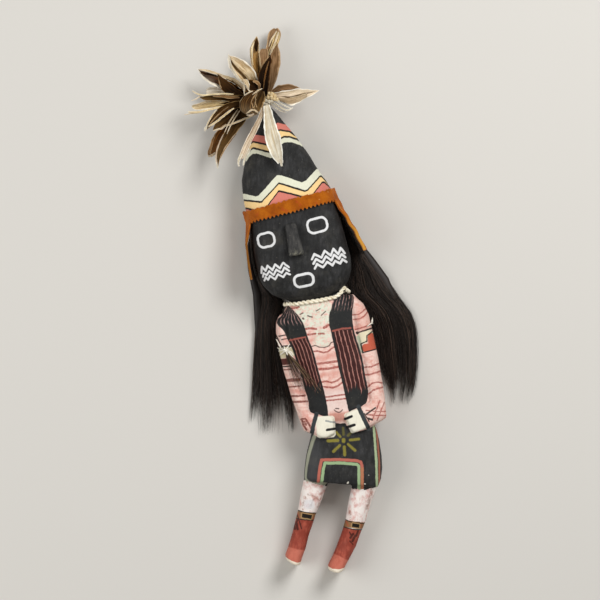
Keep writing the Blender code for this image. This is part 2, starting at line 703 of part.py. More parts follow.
def husk_tie(collection, husk):
    # The binding: a turned barrel along the cap's axis.
    centre = tie_centre()
    rings = []
    for share in TIE_PROFILE:
        reach = tie_reach(share)
        ring = []
        for index in range(LIMB_POINTS):
            angle = 2 * math.pi * index / LIMB_POINTS
            offset = (reach * math.cos(angle), TIE_LENGTH * share, reach * math.sin(angle))
            ring.append(centre + Vector(offset))
        rings.append(ring)
    return loft("husk_tie", rings, husk, collection)


def husk_leaf(number, leaf, collection, husk):
    # A dry leaf: a cupped lens section carried along a bowed spine from the binding to its tip.
    (tip_x, tip_y, tip_z), width, side_bow, lift, cup = leaf
    tip = Vector((*plan_point((tip_x, tip_y)), depth_size(tip_z)))
    centre = tie_centre()
    edge = max(math.hypot(tie_reach(share), TIE_LENGTH * share) for share in TIE_PROFILE)
    start = centre + (tip - centre).normalized() * (edge + LEAF_CLEARANCE)
    spine = tip - start
    side = Vector((-spine.y, spine.x, 0.0)).normalized()
    face = spine.cross(side).normalized()
    if face.z < 0:
        face = -face
    rings = []
    for index in range(LEAF_SECTIONS):
        share = index / (LEAF_SECTIONS - 1)
        bow = math.sin(math.pi * share)
        middle = start + spine * share + side * plan_size(side_bow * bow) + face * plan_size(lift * bow)
        fullness = LEAF_BASE_SHARE + (1 - LEAF_BASE_SHARE) * math.sin(math.pi * share ** LEAF_FULLEST)
        half_width = plan_size(width) / 2 * fullness
        half_thick = LEAF_THICKNESS / 2
        if index == LEAF_SECTIONS - 1:
            half_width = LEAF_TIP_HALF_WIDTH
            half_thick /= 2
        sag = cup * half_width / (plan_size(width) / 2)
        ring = []
        for across, up in LEAF_PROFILE:
            drop = -sag * (1.0 - across * across)
            ring.append(middle + side * (across * half_width) + face * (up * half_thick + drop))
        rings.append(ring)
    return loft(f"husk_leaf_{number:02d}", rings, husk, collection)


def build():
    clear_scene()
    collection = make_collection(COLLECTION_NAME)
    cutters = make_collection(CUTTER_COLLECTION_NAME)
    wood = make_material("painted_wood", (0.045, 0.045, 0.05), 0.7)
    nose_wood = make_material("nose_wood", (0.07, 0.065, 0.055), 0.75)
    suede = make_material("suede", (0.47, 0.16, 0.03), 0.9)
    hair = make_material("horsehair", (0.012, 0.009, 0.008), 0.45)
    thread = make_material("cotton_cord", (0.76, 0.68, 0.5), 0.85)
    husk = make_material("dry_husk", (0.5, 0.36, 0.2), 0.7)
    carved_figure(collection, cutters, wood)
    nose_block(collection, nose_wood)
    leather_headband(collection, suede)
    hair_lock("hair_left", LEFT_HAIR_SECTIONS, collection, hair)
    hair_lock("hair_right", RIGHT_HAIR_SECTIONS, collection, hair)
    neck_cord(collection, thread)
    arm_tie("arm_tie_left", LEFT_ARM_SECTIONS, LEFT_TIE_ROUTE, collection, thread)
    arm_tie("arm_tie_right", RIGHT_ARM_SECTIONS, RIGHT_TIE_ROUTE, collection, thread)
    arm_tuft(collection, hair)
    husk_tie(collection, husk)
    for number, leaf in enumerate(LEAVES, start=1):
        husk_leaf(number, leaf, collection, husk)


build()
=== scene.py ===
import math
import random

import bpy
import numpy as np
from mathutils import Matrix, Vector, noise


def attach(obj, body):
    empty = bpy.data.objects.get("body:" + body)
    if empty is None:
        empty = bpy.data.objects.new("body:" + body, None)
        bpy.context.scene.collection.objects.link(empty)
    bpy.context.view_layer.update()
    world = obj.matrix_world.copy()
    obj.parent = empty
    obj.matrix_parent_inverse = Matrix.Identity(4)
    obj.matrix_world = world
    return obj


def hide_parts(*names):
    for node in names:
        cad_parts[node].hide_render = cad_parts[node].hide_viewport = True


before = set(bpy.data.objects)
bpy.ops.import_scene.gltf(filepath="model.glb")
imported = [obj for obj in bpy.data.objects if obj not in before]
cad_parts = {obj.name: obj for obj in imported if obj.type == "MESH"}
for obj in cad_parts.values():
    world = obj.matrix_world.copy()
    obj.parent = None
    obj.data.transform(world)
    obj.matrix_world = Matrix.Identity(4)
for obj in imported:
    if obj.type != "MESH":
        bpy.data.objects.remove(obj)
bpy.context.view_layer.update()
mm = 0.001

# The doll was drawn on a grid of 0.61 mm squares that is turned ten degrees to it: u runs to the
# viewer's right, v runs down to the feet. All painted lines below are in squares of that grid.
drawing = {"square": 0.61 * mm, "turn": math.radians(10), "zeroU": 322.0, "zeroV": 370.0}


def onGrid(u, v, height=0.0):
    across, down = u - drawing["zeroU"], v - drawing["zeroV"]
    cosine, sine = math.cos(drawing["turn"]), math.sin(drawing["turn"])
    return Vector((drawing["square"] * (across * cosine - down * sine),
                   -drawing["square"] * (across * sine + down * cosine), height * mm))


def toGrid(place):
    across, up = place.x / drawing["square"], place.y / drawing["square"]
    cosine, sine = math.cos(drawing["turn"]), math.sin(drawing["turn"])
    return (drawing["zeroU"] + across * cosine - up * sine, drawing["zeroV"] - across * sine - up * cosine)


# Modelling helpers


def useOnly(thing):
    if bpy.context.object and bpy.context.object.mode != "OBJECT":
        bpy.ops.object.mode_set(mode="OBJECT")
    bpy.ops.object.select_all(action="DESELECT")
    thing.select_set(True)
    bpy.context.view_layer.objects.active = thing


def applyModifiers(thing):
    useOnly(thing)
    for modifier in list(thing.modifiers):
        bpy.ops.object.modifier_apply(modifier=modifier.name)


def faceOutwards(thing):
    useOnly(thing)
    bpy.ops.object.mode_set(mode="EDIT")
    bpy.ops.mesh.select_all(action="SELECT")
    bpy.ops.mesh.normals_make_consistent(inside=False)
    bpy.ops.object.mode_set(mode="OBJECT")


def copyOfNode(nodeName, pieceName):
    # A copy of a CAD node with its loose triangles merged, ready to be worked on
    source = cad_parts[nodeName]
    piece = bpy.data.objects.new(pieceName, source.data.copy())
    bpy.context.scene.collection.objects.link(piece)
    piece.data.materials.clear()
    useOnly(piece)
    bpy.ops.object.mode_set(mode="EDIT")
    bpy.ops.mesh.select_all(action="SELECT")
    bpy.ops.mesh.remove_doubles(threshold=0.002 * mm)
    bpy.ops.object.mode_set(mode="OBJECT")
    return piece


def remesh(piece, voxel):
    modifier = piece.modifiers.new("remesh", "REMESH")
    modifier.mode = "VOXEL"
    modifier.voxel_size = voxel * mm
    modifier.use_smooth_shade = True
    applyModifiers(piece)


def smoothWhere(piece, share, rounds, factor=0.5):
    # Smooths each point as much as share(point) says
    group = piece.vertex_groups.new(name="soft")
    for vertex in piece.data.vertices:
        group.add([vertex.index], share(vertex.co), "REPLACE")
    modifier = piece.modifiers.new("smooth", "SMOOTH")
    modifier.factor = factor
    modifier.iterations = rounds
    modifier.vertex_group = "soft"
    applyModifiers(piece)
    piece.vertex_groups.clear()


def undulate(piece, amounts):
    # Pushes the surface in and out by soft noise: amounts holds (size, depth) pairs in mm
    normals = [vertex.normal.copy() for vertex in piece.data.vertices]
    for vertex, normal in zip(piece.data.vertices, normals):
        push = sum(depth * noise.noise(vertex.co / (size * mm)) for size, depth in amounts)
        vertex.co += normal * push * mm


def ramp(value, low, high):
    return min(max((value - low) / (high - low), 0.0), 1.0)


def tubesAsMesh(name, routes, sides=0):
    # Each route is a list of (point, radius); all become one mesh of fine tubes
    curve = bpy.data.curves.new(name, "CURVE")
    curve.dimensions = "3D"
    curve.bevel_depth = mm
    curve.bevel_resolution = sides
    curve.use_fill_caps = True
    for route in routes:
        spline = curve.splines.new("POLY")
        spline.points.add(len(route) - 1)
        for place, (point, radius) in zip(spline.points, route):
            place.co = (*point, 1.0)
            place.radius = radius
    thing = bpy.data.objects.new(name, curve)
    bpy.context.scene.collection.objects.link(thing)
    useOnly(thing)
    bpy.ops.object.convert(target="MESH")
    thing = bpy.context.object
    thing.data.shade_smooth()
    return thing


def joinInto(piece, *others):
    useOnly(piece)
    for other in others:
        other.select_set(True)
    bpy.ops.object.join()


def handIn(piece, slotName, *nodeNames):
    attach(piece, "root")
    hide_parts(*nodeNames)
    print(piece.name, len(piece.data.polygons), "faces")


# Shader helpers


def tone(code):
    # A colour code such as #c87a2a as the linear colour that the shader takes
    channels = [int(code[place:place + 2], 16) / 255 for place in (1, 3, 5)]
    return (*[c / 12.92 if c <= 0.04045 else ((c + 0.055) / 1.055) ** 2.4 for c in channels], 1.0)


def feed(tree, socket, value):
    if isinstance(value, bpy.types.NodeSocket):
        tree.links.new(value, socket)
    else:
        socket.default_value = value


def calc(tree, operation, *values):
    node = tree.nodes.new("ShaderNodeMath")
    node.operation = operation
    for socket, value in zip(node.inputs, values):
        feed(tree, socket, value)
    return node.outputs[0]


def times(tree, first, second):
    return calc(tree, "MULTIPLY", first, second)


def spread(tree, value, factor, offset):
    return calc(tree, "MULTIPLY_ADD", value, factor, offset)


def kept(tree, value):
    # Held between 0 and 1
    return calc(tree, "MINIMUM", calc(tree, "MAXIMUM", value, 0.0), 1.0)


def vecCalc(tree, operation, *values):
    node = tree.nodes.new("ShaderNodeVectorMath")
    node.operation = operation
    for socket, value in zip(node.inputs, values):
        feed(tree, socket, value)
    return node.outputs["Value" if operation in ("LENGTH", "DOT_PRODUCT") else "Vector"]


def scaled(tree, vector, amount):
    node = tree.nodes.new("ShaderNodeVectorMath")
    node.operation = "SCALE"
    feed(tree, node.inputs[0], vector)
    feed(tree, node.inputs["Scale"], amount)
    return node.outputs["Vector"]


def parts(tree, vector):
    node = tree.nodes.new("ShaderNodeSeparateXYZ")
    feed(tree, node.inputs[0], vector)
    return node.outputs[0], node.outputs[1], node.outputs[2]


def softStep(tree, value, low, high):
    # 0 at low, 1 at high, and soft between
    node = tree.nodes.new("ShaderNodeMapRange")
    node.interpolation_type = "SMOOTHSTEP"
    node.clamp = False
    feed(tree, node.inputs["Value"], value)
    node.inputs["From Min"].default_value = low
    node.inputs["From Max"].default_value = high
    return node.outputs["Result"]


def mixTones(tree, share, below, above, blend="MIX"):
    node = tree.nodes.new("ShaderNodeMix")
    node.data_type = "RGBA"
    node.blend_type = blend
    feed(tree, node.inputs[0], share)
    feed(tree, node.inputs[6], below)
    feed(tree, node.inputs[7], above)
    return node.outputs[2]


def stretched(tree, place, stretch, offset=(0, 0, 0), turn=0.0):
    node = tree.nodes.new("ShaderNodeMapping")
    feed(tree, node.inputs["Vector"], place)
    node.inputs["Scale"].default_value = stretch
    node.inputs["Location"].default_value = offset
    node.inputs["Rotation"].default_value = (0, 0, turn)
    return node.outputs["Vector"]


def grain(tree, place, scale, detail=3.0, roughness=0.55):
    node = tree.nodes.new("ShaderNodeTexNoise")
    feed(tree, node.inputs["Vector"], place)
    node.inputs["Scale"].default_value = scale
    node.inputs["Detail"].default_value = detail
    node.inputs["Roughness"].default_value = roughness
    return node.outputs["Fac"]


def streaks(tree, place, stretch, detail=3.0, roughness=0.55, offset=(0, 0, 0)):
    # Noise drawn out along the piece, as brush marks and fibres are
    return grain(tree, stretched(tree, place, stretch, offset), 1.0, detail, roughness)


def tonesAlong(tree, share, stops):
    node = tree.nodes.new("ShaderNodeValToRGB")
    feed(tree, node.inputs[0], share)
    ends = node.color_ramp.elements
    ends[0].position, ends[0].color = stops[0][0], tone(stops[0][1])
    ends[1].position, ends[1].color = stops[-1][0], tone(stops[-1][1])
    for place, code in stops[1:-1]:
        ends.new(place).color = tone(code)
    return node.outputs["Color"]


def startMaterial(name):
    material = bpy.data.materials.new(name)
    material.use_nodes = True
    tree = material.node_tree
    shader = tree.nodes["Principled BSDF"]
    place = tree.nodes.new("ShaderNodeTexCoord").outputs["Object"]
    return material, tree, shader, place


def finishSurface(shader, roughness, shine):
    if roughness is not None:
        shader.inputs["Roughness"].default_value = roughness
    shader.inputs["Specular IOR Level"].default_value = shine


def addBump(tree, shader, height, strength, distance):
    node = tree.nodes.new("ShaderNodeBump")
    node.inputs["Strength"].default_value = strength
    node.inputs["Distance"].default_value = distance * mm
    feed(tree, node.inputs["Height"], height)
    feed(tree, shader.inputs["Normal"], node.outputs["Normal"])


def startGroup(name, inputs, outputs):
    tree = bpy.data.node_groups.new(name, "ShaderNodeTree")
    for socketName, kind, value in inputs:
        socket = tree.interface.new_socket(name=socketName, in_out="INPUT", socket_type="NodeSocket" + kind)
        if value is not None:
            socket.default_value = value
    for socketName, kind in outputs:
        tree.interface.new_socket(name=socketName, in_out="OUTPUT", socket_type="NodeSocket" + kind)
    return tree, tree.nodes.new("NodeGroupInput").outputs, tree.nodes.new("NodeGroupOutput").inputs


def useGroup(tree, group, outputName, **values):
    node = tree.nodes.new("ShaderNodeGroup")
    node.node_tree = group
    for socketName, value in values.items():
        feed(tree, node.inputs[socketName], value)
    return node.outputs[outputName]


# Shader groups that several materials use


def makeLineGroup():
    # How far a place is from one straight stroke. Share is 1 over the stroke's length squared.
    tree, given, result = startGroup("brushLine", [
        ("Place", "Vector", None), ("Start", "Vector", None), ("Reach", "Vector", None),
        ("Share", "Float", 1.0),
    ], [("Distance", "Float")])
    away = vecCalc(tree, "SUBTRACT", given["Place"], given["Start"])
    along = vecCalc(tree, "DOT_PRODUCT", away, given["Reach"])
    part = kept(tree, times(tree, along, given["Share"]))
    nearest = vecCalc(tree, "SUBTRACT", away, scaled(tree, given["Reach"], part))
    tree.links.new(vecCalc(tree, "LENGTH", nearest), result["Distance"])
    return tree


def makePatchGroup():
    # How far outside the edge of a rounded patch a place is; it is negative inside
    tree, given, result = startGroup("roundedPatch", [
        ("Place", "Vector", None), ("Centre", "Vector", None), ("Half", "Vector", None),
        ("Corner", "Float", 1.0), ("Turn", "Float", 0.0),
    ], [("Distance", "Float")])
    away = vecCalc(tree, "SUBTRACT", given["Place"], given["Centre"])
    turn = tree.nodes.new("ShaderNodeVectorRotate")
    turn.rotation_type = "Z_AXIS"
    tree.links.new(away, turn.inputs["Vector"])
    tree.links.new(given["Turn"], turn.inputs["Angle"])
    folded = vecCalc(tree, "ABSOLUTE", turn.outputs["Vector"])
    past = vecCalc(tree, "MAXIMUM", vecCalc(tree, "SUBTRACT", folded, given["Half"]), (0, 0, 0))
    tree.links.new(calc(tree, "SUBTRACT", vecCalc(tree, "LENGTH", past), given["Corner"]),
                   result["Distance"])
    return tree


def makeAgeGroup():
    # Handling marks: fine specks of dust and a soft cloudy unevenness, over the whole doll
    tree, given, result = startGroup("handledAge", [
        ("Place", "Vector", None), ("Colour", "Color", (1, 1, 1, 1)), ("Dust", "Color", tone("#8d8778")),
        ("Amount", "Float", 0.5),
    ], [("Colour", "Color")])
    cloud = softStep(tree, grain(tree, given["Place"], 90.0, 4.0, 0.6), 0.5, 0.78)
    speck = softStep(tree, grain(tree, given["Place"], 1500.0, 1.0, 0.5), 0.7, 0.76)
    mask = calc(tree, "ADD", times(tree, cloud, 0.22), times(tree, speck, 0.5))
    share = kept(tree, times(tree, mask, given["Amount"]))
    tree.links.new(mixTones(tree, share, given["Colour"], given["Dust"]), result["Colour"])
    return tree


lineGroup = makeLineGroup()
patchGroup = makePatchGroup()
ageGroup = makeAgeGroup()


# Painting on the drawing grid. shake is how far a line strays from its drawn place, in squares
paintWork = {"shake": 1.0, "shakeSize": 0.28, "widthWobble": 0.45, "wobbleSize": 0.55}


def paintPlace(tree, place):
    # Object place to grid squares (u across, v down, w up), shaken a little as a hand shakes
    node = tree.nodes.new("ShaderNodeMapping")
    tree.links.new(place, node.inputs["Vector"])
    size = 1 / drawing["square"]
    node.inputs["Scale"].default_value = (size, -size, size)
    node.inputs["Rotation"].default_value = (0, 0, -drawing["turn"])
    node.inputs["Location"].default_value = (drawing["zeroU"], drawing["zeroV"], 0)
    grid = node.outputs["Vector"]
    size, reach = paintWork["shakeSize"], paintWork["shake"]
    right = spread(tree, grain(tree, grid, size, 2.0, 0.6), reach, -reach / 2)
    elsewhere = vecCalc(tree, "ADD", grid, (50, 80, 9))
    down = spread(tree, grain(tree, elsewhere, size, 2.0, 0.6), reach, -reach / 2)
    shake = tree.nodes.new("ShaderNodeCombineXYZ")
    tree.links.new(right, shake.inputs["X"])
    tree.links.new(down, shake.inputs["Y"])
    shaken = vecCalc(tree, "ADD", grid, shake.outputs["Vector"])
    u, v, w = parts(tree, shaken)
    return grid, vecCalc(tree, "MULTIPLY", shaken, (1, 1, 0)), u, v, w


def lineThrough(tree, along, points, smooth=False):
    # A drawn edge as a curve: its value across the grid at each place along it
    firsts, seconds = [p[0] for p in points], [p[1] for p in points]
    low, high, bottom, top = firsts[0], firsts[-1], min(seconds), max(seconds) + 0.001
    node = tree.nodes.new("ShaderNodeFloatCurve")
    share = kept(tree, spread(tree, along, 1 / (high - low), -low / (high - low)))
    feed(tree, node.inputs["Value"], share)
    curve = node.mapping.curves[0]
    for index, (first, second) in enumerate(points):
        share, level = (first - low) / (high - low), (second - bottom) / (top - bottom)
        if index == 0:
            knot = curve.points[0]
            knot.location = (share, level)
        elif index == len(points) - 1:
            knot = curve.points[len(curve.points) - 1]
            knot.location = (share, level)
        else:
            knot = curve.points.new(share, level)
        knot.handle_type = "AUTO" if smooth else "VECTOR"
    node.mapping.update()
    return spread(tree, node.outputs["Value"], top - bottom, bottom)


def past(tree, value, edge, soft=0.35):
    # 1 where the value is past the edge
    return softStep(tree, calc(tree, "SUBTRACT", value, edge), -soft, soft)


def both(tree, *masks):
    result = masks[0]
    for mask in masks[1:]:
        result = times(tree, result, mask)
    return result


def bolder(lines, gain):
    return [(width * gain, *points) for width, *points in lines]


def strokes(tree, flat, wobble, lines, soft=0.32):
    # lines holds (width, point, point, ...) for each brush line
    nearest = None
    for width, *points in lines:
        for start, end in zip(points, points[1:]):
            reach = (end[0] - start[0], end[1] - start[1])
            value = useGroup(tree, lineGroup, "Distance", Place=flat, Start=(*start, 0), Reach=(*reach, 0),
                             Share=1 / max(reach[0] ** 2 + reach[1] ** 2, 0.01))
            value = calc(tree, "SUBTRACT", value, width / 2)
            nearest = value if nearest is None else calc(tree, "MINIMUM", nearest, value)
    return softStep(tree, calc(tree, "ADD", nearest, wobble), soft, -soft)


def patch(tree, flat, centre, half, corner, turn):
    return useGroup(tree, patchGroup, "Distance", Place=flat, Centre=(*centre, 0), Corner=corner,
                    Half=(half[0] - corner, half[1] - corner, 9.0), Turn=math.radians(turn))


def ring(tree, flat, wobble, centre, half, corner, turn, width):
    edge = calc(tree, "ABSOLUTE", patch(tree, flat, centre, half, corner, turn))
    return softStep(tree, calc(tree, "ADD", edge, wobble), width / 2 + 0.3, width / 2 - 0.3)
paintTones = {
    "charcoal": "#272727", "charcoalLight": "#3a3a3b", "charcoalDark": "#1c1c1c", "line": "#1c1716",
    "white": "#e2e2e2", "capWhite": "#dcdcc6", "yellow": "#f0cd90", "red": "#cf7a6c",
    "body": "#e7c6ba", "bodyPink": "#d6988a", "bodyPale": "#eddcd2", "pendant": "#d6dac8",
    "necklaceFleck": "#c98f82", "smudge": "#b8796a", "halo": "#d08c7e", "brushed": "#d59a8e",
    "shoulderBlush": "#c98878", "belly": "#e0cdc6", "stripe": "#9a4a40", "darkStroke": "#4f3430",
    "leftArmStripe": "#74352c", "leftArmPale": "#c9c6a0", "armPale": "#dcd2b4", "armGreen": "#a9b19a",
    "rust": "#bd5c44", "darkRust": "#552a24", "bandolier": "#202121", "shoulderStripe": "#b08a84",
    "fringe": "#3a1714", "fringeLine": "#b07a6f", "fringeTop": "#9a5347", "handWhite": "#e6e1cf",
    "wristband": "#34393b", "slit": "#1a1a1c", "faintSlit": "#7d8386",
    "kiltWorn": "#525254", "kiltRed": "#b06253", "green": "#92aa80", "fadedRed": "#a87850",
    "sideRed": "#a0624c", "sideGreen": "#a4b48e", "kiltBorder": "#a0a28e", "star": "#8a8030",
    "starDim": "#5f5a2c", "chip": "#cfcabd",
    "legPale": "#f0e7e1", "legPink": "#d8aca4", "legDrip": "#c9958a", "legRose": "#cf948c",
    "legStain": "#8f6250", "legCool": "#cfd2d8", "bootDark": "#893a2c", "bootLight": "#aa5341",
    "toe": "#bd6a57", "sole": "#e8dcc8", "cuff": "#8a6442", "cuffRed": "#a4553c", "cuffLine": "#201a14",
    "barRim": "#a5855a", "bar": "#1b1611", "lace": "#3b1712",
}

capLines = {
    "upperRedTop": [(240, 151), (248, 141), (255, 135), (266, 137), (272, 139), (275, 124.5), (278, 123.2),
                    (286, 125), (294, 132), (304, 142)],
    "upperYellowTop": [(240, 158), (248, 147.5), (253, 142.8), (266, 145.8), (272, 147), (277, 132.2),
                       (280, 131.2), (290, 132.8), (298, 139), (306, 147)],
    "upperWhiteTop": [(240, 165), (247, 155), (253, 149.4), (267, 153.2), (274, 155), (280, 140.5),
                      (284, 138.4), (289, 138.2), (297, 140.6), (304, 145), (312, 152)],
    "upperWhiteEnd": [(240, 172), (244, 166), (249, 157.5), (253, 154.2), (257, 154), (271, 158.8),
                      (276, 157), (281, 145.4), (284, 143.2), (291, 142.6), (300, 145.4), (305, 148.8),
                      (312, 156)],
    "whiteTop": [(234, 193.4), (244, 194), (256, 197), (259, 196), (277, 176), (282, 176.2), (302, 183.2),
                 (306, 181.2), (316.6, 169.2), (319, 169.4), (330, 184), (342, 199)],
    "whiteEnd": [(234, 199), (244, 199.6), (260, 201.6), (262, 201.2), (279, 183), (305, 190.8),
                 (308, 189.4), (320, 175.8), (321.4, 175.6), (332, 187), (342, 199)],
    "yellowEnd": [(234, 206.6), (246, 207.6), (262, 211.5), (267.4, 206), (278.4, 191.2), (280.4, 191),
                  (299, 195.6), (306, 197.6), (313, 194), (322, 182), (324.4, 181.8), (332, 188.4),
                  (342, 199)],
    "brow": [(234, 219), (244, 219), (267, 211.5), (286, 206), (305, 200), (323, 196), (342, 195)],
}
# From the tip down: the edge where each tone starts, how far below it, and the tone (None is bare black)
capLayers = [
    ("upperRedTop", 0.0, "red"), ("upperYellowTop", -1.6, "line"), ("upperYellowTop", 0.2, "yellow"),
    ("upperWhiteTop", -2.0, "line"), ("upperWhiteTop", 0.0, "capWhite"), ("upperWhiteEnd", 0.0, None),
    ("whiteTop", 0.0, "capWhite"), ("whiteEnd", -0.1, "line"), ("whiteEnd", 1.8, "yellow"),
    ("yellowEnd", -0.1, "line"), ("yellowEnd", 1.8, "red"),
]
# Rings: centre, half size, corner, turn in degrees, width of the line. Cheeks: width, then the points
faceLines = {
    "rings": [((266.3, 240.3), (8.2, 6.8), 5.4, 13, 2.3), ((317.2, 225.6), (9.7, 6.9), 5.4, 15, 2.3),
              ((303.9, 280.3), (9.5, 5.9), 5.0, 11, 2.5)],
    "cheeks": [(1.9, (261.5, 273.2), (262, 266.9), (265.9, 271), (267.7, 265.9), (272.6, 270.3),
                (275.2, 264.7), (280, 268.5), (283.2, 262.9), (288.8, 267.3)),
               (1.9, (263.2, 276.9), (263.8, 273.1), (266.9, 275.5), (269.3, 271.4), (273.8, 275.1),
                (276.4, 269.8), (281.8, 273), (284.5, 267.7), (289.2, 271.1)),
               (1.9, (264.6, 280.6), (265.8, 277.4), (268.2, 279.9), (270.2, 276), (275.3, 279.3),
                (278, 274.3), (283.4, 277.3), (286.2, 273), (290, 274.5)),
               (2.2, (311.9, 259.4), (314.2, 254.4), (321.4, 257.9), (324.6, 251), (330.6, 255.8),
                (333.2, 249.1), (338.1, 254.3), (340.4, 248.2), (344.6, 253.4)),
               (2.2, (313.4, 263.9), (316, 259.4), (322.4, 262.7), (325.9, 256.7), (331.2, 260.6),
                (334, 254.9), (338.8, 258.9), (341.5, 254.2), (345.1, 257.4)),
               (2.2, (314.8, 268.8), (316.9, 264.2), (322.9, 267.5), (327, 262.1), (332.4, 265.5),
                (335, 261), (340, 263.6), (342.3, 259.4), (346.2, 262))],
}
zoneLines = {
    "capLeft": [(100, 266), (108, 263), (125, 257.4), (145, 251.4), (166, 245.4), (180, 243), (194, 244.4),
                (212, 245.4)],
    "capRight": [(100, 266), (107, 269.6), (122, 282.6), (140, 297.4), (163, 312.4), (175, 321.4),
                 (190, 333.4), (200, 337)],
    "chin": [(236, 296), (264, 292), (272, 298), (284, 303), (300, 303.5), (312, 302.4), (326, 299.4),
             (338, 294.4), (344, 289), (350, 283), (356, 272), (380, 268)],
    "waist": [(292, 431), (303, 430), (311, 433), (318, 436.5), (326, 438), (334, 436), (334.6, 422.5),
              (340, 423.3), (345, 422.6), (348, 427), (351, 431.5), (357, 431.5), (366, 429),
              (371.5, 426.6), (388, 419.5)],
    "hem": [(296, 476), (304, 478), (315, 481), (327, 484), (337, 484.2), (350, 486.2), (365, 487.2),
            (375, 485), (384, 483)],
}
bodyLines = {
    "centre": [(1.9, (306, 328.6), (310, 328.2), (316, 328.8)),
               (2.0, (324, 327.6), (327.5, 325.6), (331, 323.8)), (1.6, (308, 334.6), (315.5, 333.6)),
               (1.6, (319, 333.6), (323.6, 333.4)), (1.9, (316.3, 363.6), (326, 362.6), (336.8, 361)),
               (1.9, (318, 369.2), (328, 368.6), (338.4, 366.4)),
               (1.4, (321, 382), (326, 381), (332, 382.2), (337, 380.5), (340.6, 377.4)),
               (1.5, (323, 386.4), (328, 387), (333, 387.4), (338, 385.6), (342.4, 382)),
               (1.3, (324.6, 397), (334, 395.6), (345.6, 394)),
               (1.3, (325.2, 400.4), (336, 399.4), (346.6, 398)),
               (1.3, (313, 351.4), (318, 351), (323, 352.4), (328, 351.4), (332, 348), (335, 346.4)),
               (1.6, (291, 308.8), (299, 307.2))],
    "centreDark": [(1.1, (312, 346), (315, 345.2), (319, 347), (324, 347.4), (329, 345.6), (331, 342.6),
                    (334, 341.4)),
                   (1.5, (307.6, 315.7), (312, 317.2)), (1.1, (300, 314.3), (303, 313)),
                   (2.2, (303, 318.4), (303.4, 318.6)), (1.0, (316, 311), (320, 308.8)),
                   (1.1, (321.4, 315.2), (325.4, 311.4)),
                   (1.1, (334.2, 409.6), (336, 411.2), (338.4, 412), (340.8, 411.2), (342.4, 409.4)),
                   (1.4, (335.8, 408.2), (338.6, 408.4))],
    "leftArm": [(1.4, (284, 369.6), (291, 369)), (3.0, (285, 380.4), (299, 379.4)),
                (1.4, (287, 387), (300.6, 385.6)), (1.9, (289, 396), (304.6, 395.4)),
                (2.0, (291, 401.8), (307, 401)),
                (2.0, (301.4, 419), (305, 418.4), (308.8, 423), (311, 428)),
                (1.9, (301.6, 419), (303.6, 425), (306.4, 429.4)), (1.8, (304.4, 421.4), (306, 424.4)),
                (1.3, (303, 424), (308, 422.6))],
    "leftArmDark": [(1.2, (279, 336), (286.4, 335)), (1.0, (281.6, 339.6), (287.4, 338.4)),
                    (1.7, (277, 346.8), (293, 345.4)), (1.4, (281, 366.6), (291, 366))],
    "rightArm": [(1.2, (352.6, 315), (358, 314.4), (362, 312), (366.8, 307.2)),
                 (1.3, (353.4, 319.4), (360, 318.6), (364, 316), (368.2, 311)),
                 (1.3, (355.2, 329.4), (362, 327.6), (371, 324.2)),
                 (1.4, (364.6, 367), (371, 366.6), (379.4, 363)),
                 (1.6, (365, 374.6), (371, 374), (380.6, 370.8)),
                 (1.3, (367.6, 386.8), (372, 383), (377, 381.8), (384, 383.2)),
                 (1.4, (368.2, 393.8), (373, 390), (378, 388), (385, 386.6)),
                 (1.1, (379.6, 400), (372.8, 418)), (1.0, (384.2, 402), (376.8, 420)),
                 (1.0, (365.8, 409.8), (376, 411.2), (387, 411)),
                 (1.2, (367, 414.2), (378, 415.2), (387, 415))],
    "rightArmDark": [(1.6, (356.6, 332.8), (364, 330.6), (372, 328)), (3.0, (357, 332.8), (357.4, 332.8)),
                     (1.3, (372.6, 331.2), (366.6, 335.6), (366.8, 341), (360.8, 343.8), (362.6, 352.6),
                      (377, 348.8)),
                     (1.6, (366, 414), (375, 407.4)), (2.2, (367.6, 418), (372, 419.2)),
                     (1.2, (364, 413), (369, 421))],
    "fringeTops": [(1.6, (289.6, 340.2), (297, 338.6), (305.4, 337)),
                   (1.8, (332.6, 331), (342, 328.6), (350.4, 328))],
    "halo": [(5.5, (318, 358), (336, 355)), (4.5, (321, 375), (340, 372)), (5.0, (324, 391), (343, 389)),
             (4.0, (309, 341), (314, 339)), (4.0, (292, 391), (303, 391)), (4.0, (303, 412), (309, 420))],
    "leftBandPale": [(11, (278, 353), (290, 351.6))],
    "leftBandRust": [(6.4, (280, 362), (287.6, 361.4))],
    "rightBandPale": [(8.5, (361.4, 336.8), (369, 334)), (6, (361, 341), (364, 340.6))],
    "rightBandGreen": [(3.4, (357.8, 337), (362.2, 351))],
    "rightBandRust": [(8, (371.4, 337), (372.8, 345.6)), (8, (365.6, 347.8), (373, 346.4)),
                      (4, (375, 334), (376.6, 347))],
}
# centre, half size, corner, turn in degrees
bodyPatches = {
    "necklace": ((314, 314), (18, 13), 8, 8),
    "pendant": ((322, 338), (9, 9), 5, 0),
    "smudge": ((337.6, 416.6), (9, 4.6), 3, 4),
    "coolThigh": ((309, 504), (5, 5), 3, 0),
}
# How wide half a stripe is and where the fringe starts and ends, as shares of the strap's width, and how
# ragged the fringe's lower end is, in squares
strapWork = {"fringeBeat": 0.09, "shoulderBeat": 0.075, "fringeFrom": 0.1, "fringeTo": 0.93, "ragged": 26.0}
